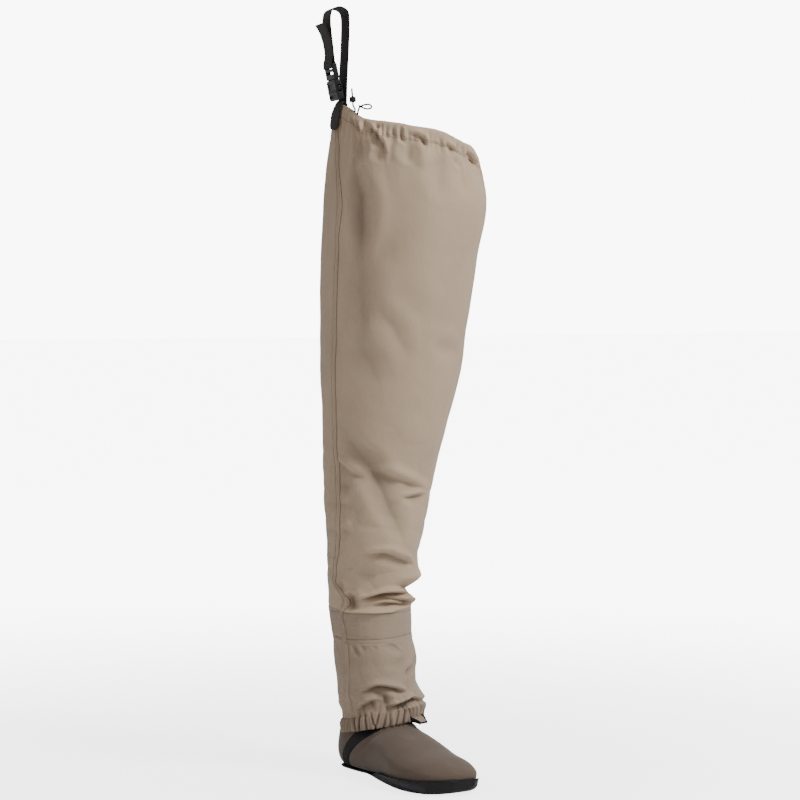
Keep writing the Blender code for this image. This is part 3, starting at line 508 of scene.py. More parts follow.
def added(name: str) -> bpy.types.Object:
    """Name the object that an operator has just added.

    Args:
        name: Its new name.

    Returns:
        The object.
    """
    piece = bpy.context.object
    piece.name = piece.data.name = name
    return piece


def points_of(piece: bpy.types.Object) -> np.ndarray:
    """Read a mesh's points, one a row."""
    flat = np.empty(len(piece.data.vertices) * 3)
    piece.data.vertices.foreach_get("co", flat)
    return flat.reshape(-1, 3)


def place_points(piece: bpy.types.Object, points: np.ndarray) -> None:
    """Write a mesh's points."""
    piece.data.vertices.foreach_set("co", np.ascontiguousarray(points, float).ravel())
    piece.data.update()


def apply_modifier(piece: bpy.types.Object, kind: str, **settings: object) -> None:
    """Add a modifier with its settings and apply it.

    Args:
        piece: Object that is changed.
        kind: Kind of modifier.
        settings: Its settings by name.
    """
    pick(piece)
    bpy.ops.object.modifier_add(type=kind)
    step = piece.modifiers[-1]
    for key, value in settings.items():
        setattr(step, key, value)
    bpy.ops.object.modifier_apply(modifier=step.name)


def tidy_mesh(piece: bpy.types.Object, capped: bool = False) -> None:
    """Merge doubles, close the ends where asked, and point the faces outwards.

    Args:
        piece: Object that is changed.
        capped: Whether open ends are filled.
    """
    edit_all(piece)
    bpy.ops.mesh.remove_doubles(threshold=1e-6)
    if capped:
        bpy.ops.mesh.fill_holes(sides=0)
    bpy.ops.mesh.select_all(action="SELECT")
    bpy.ops.mesh.normals_make_consistent(inside=False)
    bpy.ops.object.mode_set(mode="OBJECT")


def face_way(piece: bpy.types.Object, away: Sequence[float]) -> None:
    """Turn every face of a thin sheet round if it looks against a direction.

    Args:
        piece: The piece.
        away: Direction that its faces look to.
    """
    if np.mean([face.normal.dot(Vector(away)) for face in piece.data.polygons]) < 0:
        edit_all(piece)
        bpy.ops.mesh.flip_normals()
        bpy.ops.object.mode_set(mode="OBJECT")


def merge(body: bpy.types.Object, tool: bpy.types.Object, operation: str) -> None:
    """Join a tool to a body or cut it away, and remove the tool."""
    apply_modifier(body, "BOOLEAN", object=tool, operation=operation, solver="EXACT")
    bpy.data.objects.remove(tool)


def smooth(piece: bpy.types.Object, angle: float = 50.0) -> None:
    """Shade a piece smooth, with edges sharper than an angle kept."""
    pick(piece)
    bpy.ops.object.shade_smooth_by_angle(angle=math.radians(angle))


def shares(columns: int, rows: int) -> tuple[np.ndarray, np.ndarray]:
    """Give where the points of a grid lie in its two directions, row by row.

    Args:
        columns: Faces along the first direction.
        rows: Faces along the second.

    Returns:
        Shares of the first direction and of the second, one a point.
    """
    down, across = np.arange(rows + 1) / rows, np.arange(columns + 1) / columns
    second, first = np.meshgrid(down, across, indexing="ij")
    return first.ravel(), second.ravel()


def wrap_grid(
    name: str, columns: int, rows: int, points: np.ndarray, cloth: np.ndarray,
    capped: bool = False, measures: dict[str, np.ndarray] | None = None,
) -> bpy.types.Object:
    """Add a grid and lay it over a form.

    Args:
        name: Name of the piece.
        columns: Faces along the first direction.
        rows: Faces along the second.
        points: Where its points go, row by row.
        cloth: Their cloth coordinates.
        capped: Whether open ends are filled.
        measures: Numbers for the points by name, kept as attributes.

    Returns:
        The piece, with its meeting edges merged.
    """
    deselect_all()
    bpy.ops.mesh.primitive_grid_add(x_subdivisions=columns, y_subdivisions=rows, size=1.0)
    piece = added(name)
    flat = points_of(piece) + 0.5
    order = nearest(flat[:, 1], rows) * (columns + 1) + nearest(flat[:, 0], columns)
    place_points(piece, points[order])
    loops = np.empty(len(piece.data.loops), int)
    piece.data.loops.foreach_get("vertex_index", loops)
    layer = piece.data.uv_layers.active or piece.data.uv_layers.new(name="cloth")
    layer.name = "cloth"
    layer.data.foreach_set("uv", np.ascontiguousarray(cloth[order[loops]], float).ravel())
    for label, values in (measures or {}).items():
        add_measure(piece, label, values[order])
    tidy_mesh(piece, capped)
    return piece


def add_measure(piece: bpy.types.Object, name: str, values: np.ndarray) -> None:
    """Store a number for each point of a mesh, for its material to read."""
    made = piece.data.attributes.new(name, "FLOAT", "POINT")
    made.data.foreach_set("value", np.ascontiguousarray(values, np.float32))


def wander(points: np.ndarray, size: float, seed: float) -> np.ndarray:
    """Read smooth noise of a feature size at points.

    Args:
        points: One point a row.
        size: Size of its features.
        seed: Shifts the pattern.

    Returns:
        Values from about -1 to 1.
    """
    shift = Vector((seed, 1.7 * seed, -0.6 * seed))
    return np.array([noise.noise(Vector(p) / size + shift) for p in points])


def crumple(points: np.ndarray, size: float, seed: float) -> np.ndarray:
    """Read creased noise: flat fields between sharp valleys, from 0 to 1."""
    return np.clip(np.abs(wander(points, size, seed)) * 2.6, 0.0, 1.0) ** 0.6


def smooth_line(points: Sequence[Sequence[float]], steps: int) -> np.ndarray:
    """Lay a smooth curve through a line of points.

    Args:
        points: Points of any dimension.
        steps: Pieces between two points.

    Returns:
        The curve's points, one a row.
    """
    line = np.array(points, float)
    line = np.vstack([2 * line[0] - line[1], line, 2 * line[-1] - line[-2]])
    made = []
    for a, b, c, d in zip(line, line[1:], line[2:], line[3:]):
        for t in np.arange(steps) / steps:
            made.append(0.5 * (
                2 * b + (c - a) * t + (2 * a - 5 * b + 4 * c - d) * t**2
                + (3 * b - a - 3 * c + d) * t**3
            ))
    return np.array(made + [line[-2]])


def along_line(line: np.ndarray) -> np.ndarray:
    """Give the distance along a line at each of its points."""
    return np.concatenate([[0.0], np.cumsum(np.linalg.norm(np.diff(line, axis=0), axis=1))])


def resample(line: np.ndarray, spacing: float) -> np.ndarray:
    """Space a line's points evenly, about a distance apart.

    Args:
        line: Points, one a row.
        spacing: Wanted distance between them.

    Returns:
        The evenly spaced points.
    """
    run = along_line(line)
    even = np.linspace(0.0, run[-1], max(2, round(run[-1] / spacing) + 1))
    return np.stack([np.interp(even, run, line[:, k]) for k in range(line.shape[1])], axis=1)


def finish_piece(
    piece: bpy.types.Object, material: bpy.types.Material, nodes: Sequence[str] = (),
    extra: Sequence[bpy.types.Material] = (),
) -> bpy.types.Object:
    """Dress a piece, let it ride on the body and hide the solids that it replaces.

    Args:
        piece: The finished mesh or curve.
        material: Its first material.
        nodes: Solids that it replaces.
        extra: Further materials, in slot order.

    Returns:
        The piece.
    """
    piece.data.materials.clear()
    for finish in (material, *extra):
        piece.data.materials.append(finish)
    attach(piece, BODY)
    if nodes:
        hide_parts(*nodes)
    faces = len(piece.data.polygons) if piece.type == "MESH" else 0
    LOG.info("%s: %d faces, %s", piece.name, faces, material.name)
    return piece


class Graph:
    """A shader tree that is written with short calls."""

    def __init__(self, tree: bpy.types.NodeTree) -> None:
        """Keep the tree."""
        self.tree = tree

    def node(self, kind: str, settings: dict | None = None, **sockets: object) -> bpy.types.Node:
        """Add a node.

        Args:
            kind: Its Blender type.
            settings: Properties to set.
            sockets: Values or links for its inputs, with spaces as underscores.

        Returns:
            The node.
        """
        made = self.tree.nodes.new(kind)
        for key, value in (settings or {}).items():
            setattr(made, key, value)
        for key, value in sockets.items():
            name = key.replace("_", " ")
            spot = made.inputs[int(key[1:])] if key[0] == "n" and key[1:].isdigit() else made.inputs[name]
            self.feed(spot, value)
        return made

    def feed(self, spot: bpy.types.NodeSocket, value: object) -> None:
        """Link a socket to an input, or set the input's value."""
        if isinstance(value, bpy.types.NodeSocket):
            self.tree.links.new(value, spot)
        else:
            spot.default_value = value

    def dress(self, shader: bpy.types.Node, **sockets: object) -> None:
        """Feed a shader's inputs, named with underscores for spaces."""
        for key, value in sockets.items():
            self.feed(shader.inputs[key.replace("_", " ")], value)

    def sum(self, operation: str, first: object, second: object = 0.0) -> bpy.types.NodeSocket:
        """Add a maths node and give its output."""
        return self.node("ShaderNodeMath", {"operation": operation}, n0=first, n1=second).outputs[0]

    def plus(self, first: object, second: object) -> bpy.types.NodeSocket:
        """Add two values."""
        return self.sum("ADD", first, second)

    def times(self, first: object, second: object) -> bpy.types.NodeSocket:
        """Multiply two values."""
        return self.sum("MULTIPLY", first, second)

    def ramp(self, value: object, low: float, high: float) -> bpy.types.NodeSocket:
        """Spread a value between two limits over 0 to 1, smoothly."""
        step = {"interpolation_type": "SMOOTHSTEP"}
        made = self.node("ShaderNodeMapRange", step, Value=value, From_Min=low, From_Max=high)
        return made.outputs["Result"]

    def blend(self, share: object, first: object, second: object) -> bpy.types.NodeSocket:
        """Mix two colours and give the mixed colour."""
        made = self.node("ShaderNodeMix", {"data_type": "RGBA"}, n0=share, n6=first, n7=second)
        return made.outputs[2]

    def noise(self, where: object, scale: float, detail: float = 3.0) -> bpy.types.NodeSocket:
        """Add a noise texture and give its value."""
        return self.node("ShaderNodeTexNoise", None, Vector=where, Scale=scale, Detail=detail).outputs[0]

    def where(self) -> bpy.types.NodeSocket:
        """Give the place on the object."""
        return self.node("ShaderNodeTexCoord").outputs["Object"]

    def cloth(self) -> bpy.types.NodeSocket:
        """Give the piece's own cloth coordinates."""
        return self.node("ShaderNodeUVMap", {"uv_map": "cloth"}).outputs["UV"]

    def measure(self, name: str) -> bpy.types.NodeSocket:
        """Give a number that the mesh keeps for each point."""
        return self.node("ShaderNodeAttribute", {"attribute_name": name}).outputs["Fac"]

    def group(self, tree: bpy.types.NodeTree, **sockets: object) -> bpy.types.Node:
        """Place a shared group with its own values."""
        return self.node("ShaderNodeGroup", {"node_tree": tree}, **sockets)

    def bump(self, shader: bpy.types.Node, height: object, strength: float = 1.0) -> None:
        """Raise a shader's surface by heights in metres."""
        made = self.node("ShaderNodeBump", None, Height=height, Distance=1.0, Strength=strength)
        self.feed(shader.inputs["Normal"], made.outputs[0])


class SharedEffects:
    """Shader groups that several finishes use."""

    def __init__(self) -> None:
        """Build each group once."""
        self.weave = self._weave()
        self.mottle_and_fold_shade = self._mottle_and_fold_shade()

    @staticmethod
    def _open(
        name: str, inputs: Sequence[tuple[str, str, object]], outputs: Sequence[tuple[str, str]],
    ) -> tuple[bpy.types.NodeTree, Graph, bpy.types.Node, bpy.types.Node]:
        """Start a group with named inputs and outputs.

        Args:
            name: The group's name.
            inputs: Name, socket type and starting value of each input.
            outputs: Name and socket type of each output.

        Returns:
            The group, its graph, its input node and its output node.
        """
        tree = bpy.data.node_groups.new(name, "ShaderNodeTree")
        for label, kind, value in inputs:
            spot = tree.interface.new_socket(label, in_out="INPUT", socket_type=kind)
            if value is not None:
                spot.default_value = value
        for label, kind in outputs:
            tree.interface.new_socket(label, in_out="OUTPUT", socket_type=kind)
        graph = Graph(tree)
        return tree, graph, tree.nodes.new("NodeGroupInput"), tree.nodes.new("NodeGroupOutput")

    def _weave(self) -> bpy.types.NodeTree:
        """Build the plain weave: threads over and under, with slubs."""
        tree, graph, start, end = self._open(
            "plain_weave",
            [("Cloth", "NodeSocketVector", None), ("Pitch", "NodeSocketFloat", 0.0008)],
            [("Height", "NodeSocketFloat"), ("Slub", "NodeSocketFloat")],
        )
        cloth = start.outputs["Cloth"]
        parts = graph.node("ShaderNodeSeparateXYZ", None, Vector=cloth)
        rate = graph.sum("DIVIDE", math.pi, start.outputs["Pitch"])
        warp, weft = (graph.sum("SINE", graph.times(parts.outputs[k], rate)) for k in (0, 1))
        threads = graph.plus(graph.sum("ABSOLUTE", warp), graph.sum("ABSOLUTE", weft))
        height = graph.plus(graph.times(graph.times(warp, weft), 0.5), graph.times(threads, 0.25))
        stretched = graph.node("ShaderNodeMapping", None, Vector=cloth, Scale=(900.0, 60.0, 1.0))
        graph.dress(end, Height=height, Slub=graph.noise(stretched.outputs[0], 1.0, 2.0))
        return tree

    def _mottle_and_fold_shade(self) -> bpy.types.NodeTree:
        """Build the uneven tone of used cloth from broad clouds and fine specks, with painted fold shade
        and highlight.
        """
        tree, graph, start, end = self._open(
            "uneven_tone_and_fold_shade",
            [
                ("Where", "NodeSocketVector", None), ("Base", "NodeSocketColor", (0.5, 0.5, 0.5, 1.0)),
                ("Relief", "NodeSocketFloat", 0.0), ("Strength", "NodeSocketFloat", 1.0),
            ],
            [("Colour", "NodeSocketColor"), ("Cloud", "NodeSocketFloat")],
        )
        cloud = graph.noise(start.outputs["Where"], 9.0, 4.0)
        speck = graph.noise(start.outputs["Where"], 900.0, 2.0)
        relief = start.outputs["Relief"]
        lift = graph.times(graph.sum("SUBTRACT", cloud, 0.5), 0.22)
        lift = graph.plus(lift, graph.times(graph.sum("SUBTRACT", speck, 0.5), 0.16))
        # Painted shade in the folds' troughs and painted highlight on their ridges, read from the relief.
        lift = graph.plus(lift, graph.times(relief, 0.06))
        lift = graph.plus(lift, graph.times(graph.sum("MINIMUM", relief, 0.0), 0.22))
        lift = graph.plus(graph.times(lift, start.outputs["Strength"]), 1.0)
        scale = {"operation": "SCALE"}
        tone = graph.node("ShaderNodeVectorMath", scale, n0=start.outputs["Base"], Scale=lift)
        graph.dress(end, Colour=tone.outputs[0], Cloud=cloud)
        return tree


def new_material(name: str) -> tuple[bpy.types.Material, Graph, bpy.types.Node]:
    """Start a node material.

    Args:
        name: Its name.

    Returns:
        The material, its graph and its Principled shader.
    """
    made = bpy.data.materials.new(name)
    made.use_nodes = True
    return made, Graph(made.node_tree), made.node_tree.nodes["Principled BSDF"]


@dataclass(frozen=True)
class ClothFinish:
    """Woven cloth: colour, weave, nap and small wrinkles, with painted fold shade and painted shadow lines
    by the outseam where asked.
    """

    name: str
    colour: tuple[float, float, float, float]
    pitch: float = 0.0009
    roughness: float = 0.72
    weave_height: float = 0.00010
    wrinkle: float = 0.00035
    strength: float = 1.0
    sheen: float = 0.15
    # Whether the fold relief paints shade in the troughs and a highlight on the ridges.
    relief: bool = False
    # Whether painted shadow lines run along the outseam's edges.
    seam_line: bool = False
    stitch_rows: float = 0.0

    def material(self, shared: SharedEffects) -> bpy.types.Material:
        """Build the material.

        Args:
            shared: Groups that the finishes share.

        Returns:
            The material.
        """
        made, graph, shader = new_material(self.name)
        where, cloth = graph.where(), graph.cloth()
        weave = graph.group(shared.weave, Cloth=cloth, Pitch=self.pitch)
        # Fold relief for the painted shade in troughs and painted highlight on ridges.
        relief = graph.measure("relief") if self.relief else 0.0
        tone = graph.group(
            shared.mottle_and_fold_shade, Where=where, Base=self.colour, Relief=relief, Strength=self.strength
        )
        colour, slub = tone.outputs["Colour"], weave.outputs["Slub"]
        # Painted shadow lines along the outseam: dark at the seam strip's front edge, half as dark at its
        # back edge.
        if self.seam_line:
            gap = graph.measure("from_seam")
            front = graph.ramp(graph.sum("ABSOLUTE", graph.plus(gap, 0.0050)), 0.0011, 0.0003)
            back = graph.ramp(graph.sum("ABSOLUTE", graph.sum("SUBTRACT", gap, 0.0046)), 0.0009, 0.0002)
            dark = graph.sum("MAXIMUM", front, graph.times(back, 0.5))
            colour = graph.blend(graph.times(dark, 0.62), colour, srgb(78, 62, 50))
        graph.dress(
            shader, Base_Color=colour, Roughness=graph.plus(graph.times(slub, 0.14), self.roughness - 0.07),
            Sheen_Weight=self.sheen, Sheen_Roughness=0.45, Specular_IOR_Level=0.32,
        )
        height = graph.times(weave.outputs["Height"], self.weave_height)
        height = graph.plus(height, graph.times(graph.noise(where, 70.0, 3.0), self.wrinkle))
        height = graph.plus(height, graph.times(slub, self.weave_height * 0.7))
        if self.stitch_rows:
            parts = graph.node("ShaderNodeSeparateXYZ", None, Vector=cloth)
            wave = graph.sum("SINE", graph.times(parts.outputs[1], 2 * math.pi / self.stitch_rows))
            height = graph.sum("SUBTRACT", height, graph.times(graph.ramp(wave, 0.86, 1.0), 0.00012))
        graph.bump(shader, height)
        return made


@dataclass(frozen=True)
class LiningFinish:
    """White tricot lining with a taped seam along the outseam."""

    name: str = "white_lining"
    colour: tuple[float, float, float, float] = srgb(214, 216, 228)

    def material(self, shared: SharedEffects) -> bpy.types.Material:
        """Build the material.

        Args:
            shared: Groups that the finishes share.

        Returns:
            The material.
        """
        made, graph, shader = new_material(self.name)
        where = graph.where()
        away = graph.sum("ABSOLUTE", graph.measure("from_seam"))
        tape = graph.ramp(away, 0.0115, 0.0105)
        line = graph.ramp(away, 0.0019, 0.0012)
        weave = graph.group(shared.weave, Cloth=graph.cloth(), Pitch=0.0012)
        tone = graph.group(shared.mottle_and_fold_shade, Where=where, Base=self.colour, Relief=0.0, Strength=0.5)
        colour = graph.blend(tape, tone.outputs["Colour"], srgb(172, 174, 182))
        graph.dress(
            shader, Base_Color=graph.blend(line, colour, srgb(38, 40, 62)),
            Roughness=graph.sum("SUBTRACT", 0.75, graph.times(tape, 0.35)),
        )
        height = graph.plus(graph.times(weave.outputs["Height"], 0.00012), graph.times(tape, 0.0004))
        graph.bump(shader, graph.plus(height, graph.times(graph.noise(where, 40.0, 3.0), 0.0006)))
        return made


@dataclass(frozen=True)
class FoamFinish:
    """Jersey-faced foam rubber of the bootie."""

    name: str = "bootie_jersey"
    colour: tuple[float, float, float, float] = srgb(103, 89, 78)

    def material(self, shared: SharedEffects) -> bpy.types.Material:
        """Build the material.

        Args:
            shared: Groups that the finishes share.

        Returns:
            The material.
        """
        made, graph, shader = new_material(self.name)
        where = graph.where()
        tone = graph.group(shared.mottle_and_fold_shade, Where=where, Base=self.colour, Relief=0.0, Strength=0.8)
        graph.dress(
            shader, Base_Color=tone.outputs["Colour"], Roughness=0.9, Sheen_Weight=0.35,
            Sheen_Roughness=0.4, Specular_IOR_Level=0.2,
        )
        knit = graph.node("ShaderNodeTexVoronoi", {"feature": "SMOOTH_F1"}, Vector=where, Scale=1100.0)
        height = graph.times(knit.outputs["Distance"], 0.00016)
        graph.bump(shader, graph.plus(height, graph.times(graph.noise(where, 26.0, 3.0), 0.0016)), 0.8)
        return made


@dataclass(frozen=True)
class RubberFinish:
    """Moulded rubber or glued tape: dark, with a fine grain."""

    name: str
    colour: tuple[float, float, float, float]
    roughness: float = 0.5
    grain: float = 0.00012
    grain_scale: float = 900.0
    coat: float = 0.0
    dust: float = 0.06

    def material(self, shared: SharedEffects) -> bpy.types.Material:
        """Build the material.

        Args:
            shared: Groups that the finishes share.

        Returns:
            The material.
        """
        made, graph, shader = new_material(self.name)
        where = graph.where()
        tone = graph.group(shared.mottle_and_fold_shade, Where=where, Base=self.colour, Relief=0.0, Strength=1.4)
        dusty = graph.times(graph.ramp(tone.outputs["Cloud"], 0.5, 0.75), self.dust)
        graph.dress(
            shader, Base_Color=graph.blend(dusty, tone.outputs["Colour"], srgb(120, 112, 104)),
            Roughness=graph.plus(graph.times(graph.noise(where, 120.0, 3.0), 0.2), self.roughness - 0.1),
            Specular_IOR_Level=0.28, Coat_Weight=self.coat, Coat_Roughness=0.25,
        )
        graph.bump(shader, graph.times(graph.noise(where, self.grain_scale, 2.0), self.grain))
        return made


@dataclass(frozen=True)
class WebbingFinish:
    """Woven belt webbing: ribs along its length and a slanted weave."""

    name: str = "belt_webbing"
    colour: tuple[float, float, float, float] = srgb(42, 33, 27)
    rib_pitch: float = 0.0021
    weft_pitch: float = 0.0013

    def material(self, shared: SharedEffects) -> bpy.types.Material:
        """Build the material.

        Args:
            shared: Groups that the finishes share.

        Returns:
            The material.
        """
        made, graph, shader = new_material(self.name)
        parts = graph.node("ShaderNodeSeparateXYZ", None, Vector=graph.cloth())
        rib = graph.sum("SINE", graph.times(parts.outputs[0], 2 * math.pi / self.rib_pitch))
        bent = graph.plus(parts.outputs[1], graph.times(graph.sum("ABSOLUTE", rib), 0.0007))
        weft = graph.sum("SINE", graph.times(bent, 2 * math.pi / self.weft_pitch))
        tone = graph.group(shared.mottle_and_fold_shade, Where=graph.where(), Base=self.colour, Relief=weft, Strength=1.5)
        graph.dress(shader, Base_Color=tone.outputs["Colour"], Roughness=0.68, Sheen_Weight=0.03)
        graph.bump(shader, graph.plus(graph.times(rib, 0.00016), graph.times(weft, 0.00011)))
        return made


class Wardrobe:
    """Every finish of the wader, built once."""

    def __init__(self) -> None:
        """Build the shared groups and the materials."""
        shared = SharedEffects()
        # Finishes with relief=True get painted fold shade and highlight; the leg also gets painted shadow
        # lines by the outseam.
        leg = ClothFinish("leg_laminate", srgb(192, 168, 142), relief=True, seam_line=True)
        band = ClothFinish("band_laminate", srgb(164, 144, 125), relief=True, stitch_rows=0.0058)
        sole = RubberFinish("sole_rubber", srgb(10, 10, 14), 0.42, coat=0.12, dust=0.02)
        patch = RubberFinish("sole_patch", srgb(22, 22, 32), 0.34, coat=0.25, dust=0.02)
        tape = RubberFinish("seam_tape_black", srgb(12, 12, 14), 0.60, 0.00018, 1400.0, dust=0.02)
        edge = RubberFinish("binding_black", srgb(22, 20, 19), 0.75, 0.0002, 1200.0, dust=0.02)
        plastic = RubberFinish("buckle_plastic", srgb(30, 30, 31), 0.36, 0.00006, 700.0, 0.25, 0.03)
        self.leg = leg.material(shared)
        self.guard = ClothFinish("guard_laminate", srgb(170, 149, 129), relief=True).material(shared)
        self.band = band.material(shared)
        self.hem = ClothFinish("hem_laminate", srgb(150, 131, 114), relief=True).material(shared)
        self.lining = LiningFinish().material(shared)
        self.thread = ClothFinish("sewing_thread", srgb(132, 114, 96), pitch=0.0005).material(shared)
        self.foam = FoamFinish().material(shared)
        self.sole = sole.material(shared)
        self.patch = patch.material(shared)
        self.tape = tape.material(shared)
        self.edge = edge.material(shared)
        self.webbing = WebbingFinish().material(shared)
        self.plastic = plastic.material(shared)
        self.cord = ClothFinish("cord_braid", srgb(15, 14, 15), pitch=0.0007, wrinkle=0.0).material(shared)


@dataclass
class Camera:
    """Camera at the photograph's angle, with the wader in the middle."""

    turn: float = -31.0
    distance: float = 3.5
    height: float = 0.65
    lens: float = 115.0
    middle_x: float = 363.0
    middle_y: float = 293.5

    def build(self) -> None:
        """Add the camera and make it the scene's."""
        angle = math.radians(self.turn)
        spot = (self.distance * math.sin(angle), -self.distance * math.cos(angle), self.height)
        deselect_all()
        bpy.ops.object.camera_add(location=spot, rotation=(math.pi / 2, 0.0, angle))
        camera = added("photo_camera")
        camera.data.lens = self.lens
        camera.data.sensor_width = 36.0
        camera.data.shift_x = (400.0 - self.middle_x) / 800.0
        camera.data.shift_y = -(400.0 - self.middle_y) / 800.0
        bpy.context.scene.camera = camera


@dataclass
class Studio:
    """White floor and backdrop, with soft light that comes mostly from the front right."""

    floor_size: float = 60.0
    backdrop: float = 9.0
    ambient: float = 0.36
    lamps: tuple[tuple[str, tuple[float, float, float], float, float], ...] = (
        ("key", (0.9, -1.75, 2.5), 0.8, 64.0),
        ("front_fill", (-2.6, -2.0, 1.2), 1.2, 3.0),
        ("rim", (1.9, 1.3, 1.5), 1.0, 10.0),
        ("top", (0.1, 0.2, 2.8), 0.8, 10.0),
    )

    def build(self) -> None:
        """Add the floor, the world and the lamps."""
        deselect_all()
        bpy.ops.mesh.primitive_plane_add(size=self.floor_size, location=(0.0, 0.0, 0.0))
        floor = added("studio_floor")
        paint, graph, shader = new_material("studio_paint")
        where = graph.where()
        away = graph.node("ShaderNodeVectorMath", {"operation": "LENGTH"}, n0=where).outputs["Value"]
        seen = graph.node("ShaderNodeLightPath").outputs["Is Camera Ray"]
        glow = graph.plus(graph.times(graph.ramp(away, 0.2, 2.2), 4.5), 3.2)
        tone = graph.blend(graph.noise(where, 3.0), (0.88, 0.88, 0.88, 1.0), (0.9, 0.9, 0.9, 1.0))
        graph.dress(
            shader, Base_Color=tone, Roughness=0.75, Emission_Color=WHITE,
            Emission_Strength=graph.times(glow, seen),
        )
        floor.data.materials.append(paint)
        world = bpy.data.worlds.new("studio")
        world.use_nodes = True
        sky = Graph(world.node_tree)
        seen = sky.node("ShaderNodeLightPath").outputs["Is Camera Ray"]
        light = sky.plus(sky.times(seen, self.backdrop - self.ambient), self.ambient)
        sky.dress(world.node_tree.nodes["Background"], Color=WHITE, Strength=light)
        bpy.context.scene.world = world
        target = Vector((0.02, -0.06, 0.5))
        for name, spot, size, power in self.lamps:
            deselect_all()
            aim = (target - Vector(spot)).to_track_quat("-Z", "Y").to_euler()
            bpy.ops.object.light_add(type="AREA", location=spot, rotation=aim)
            lamp = added(name)
            lamp.data.shape = "DISK"
            lamp.data.size = size
            lamp.data.energy = power


def strip_grid(
    name: str, table: np.ndarray, material: bpy.types.Material, nodes: Sequence[str] = (),
) -> bpy.types.Object:
    """Make a closed strip from lines of points that run along it.

    Args:
        name: Name of the piece.
        table: For each line round the section its points, the first line repeated at the end.
        material: Its material.
        nodes: Solids that it replaces.

    Returns:
        The piece.
    """
    lines, count = table.shape[0] - 1, table.shape[1] - 1
    first, second = shares(lines, count)
    row = nearest(second, count)
    cloth = np.stack([first * 0.02, along_line(table[0])[row]], axis=-1)
    strip = wrap_grid(name, lines, count, table[nearest(first, lines), row], cloth, capped=True)
    blank = np.zeros(len(strip.data.vertices))
    add_measure(strip, "relief", blank)
    add_measure(strip, "from_seam", blank + 1.0)
    smooth(strip, 50.0)
    return finish_piece(strip, material, nodes)


def sweep(
    name: str, line: np.ndarray, section: np.ndarray, seat: np.ndarray, away: np.ndarray,
    side: np.ndarray, width: np.ndarray, thick: np.ndarray,
) -> bpy.types.Object:
    """Sweep a closed section along a line that lies in an upright plane.

    Args:
        name: Name of the piece.
        line: Distances outwards and upwards along the line.
        section: Shares of the width and of the thickness round the section.
        seat: Point that the line starts from.
        away: Level direction outwards.
        side: Level direction across.
        width: Width at each point of the line.
        thick: Thickness at each point of the line.

    Returns:
        The capped piece.
    """
    count, length = len(section) - 1, len(line) - 1
    ahead = np.gradient(line, axis=0)
    ahead /= np.linalg.norm(ahead, axis=1)[:, None]
    first, second = shares(count, length)
    across, over = section[nearest(first, count)].T
    row = nearest(second, length)
    over = over * thick[row]
    out = line[row, 0] - ahead[row, 1] * over
    up = line[row, 1] + ahead[row, 0] * over
    points = seat + out[:, None] * away + up[:, None] * UP + (across * width[row])[:, None] * side
    cloth = np.stack([across * width[0], along_line(line)[row]], axis=-1)
    return wrap_grid(name, count, length, points, cloth, capped=True)


@dataclass
class StitchRows:
    """Rows of small thread stitches, one modelled and the rest copied."""

    pitch: float = 0.0031
    length: float = 0.0024
    width: float = 0.00055

    def unit(self) -> tuple[np.ndarray, list[tuple[int, ...]]]:
        """Model one stitch: a short rounded bead.

        Returns:
            Its points and its faces.
        """
        deselect_all()
        bpy.ops.mesh.primitive_uv_sphere_add(segments=6, ring_count=4, radius=0.5)
        bead = added("stitch_pattern")
        points = points_of(bead) * (self.length, self.width, self.width)
        faces = [tuple(face.vertices) for face in bead.data.polygons]
        bpy.data.objects.remove(bead)
        return points, faces

    def build(self, name: str, lines: Sequence[tuple[np.ndarray, np.ndarray]]) -> bpy.types.Object:
        """Sew rows of stitches along lines.

        Args:
            name: Name of the piece.
            lines: For each row its points and its outward directions.

        Returns:
            One mesh with every stitch.
        """
        unit, faces = self.unit()
        points, polygons = [], []
        for line, ways in lines:
            both = resample(np.hstack([line, ways]), self.pitch)
            for k in range(len(both) - 1):
                ahead = both[k + 1, :3] - both[k, :3]
                ahead /= np.linalg.norm(ahead)
                up = both[k, 3:] / np.linalg.norm(both[k, 3:])
                side = np.cross(up, ahead)
                middle = (both[k, :3] + both[k + 1, :3]) / 2
                start = len(points) * len(unit)
                points.append(middle + unit @ np.stack([ahead, side, up]))
                polygons += [tuple(start + i for i in face) for face in faces]
        mesh = bpy.data.meshes.new(name)
        mesh.from_pydata(np.vstack(points).tolist(), [], polygons)
        piece = bpy.data.objects.new(name, mesh)
        bpy.context.scene.collection.objects.link(piece)
        mesh.uv_layers.new(name="cloth")
        tidy_mesh(piece)
        smooth(piece, 80.0)
        return piece


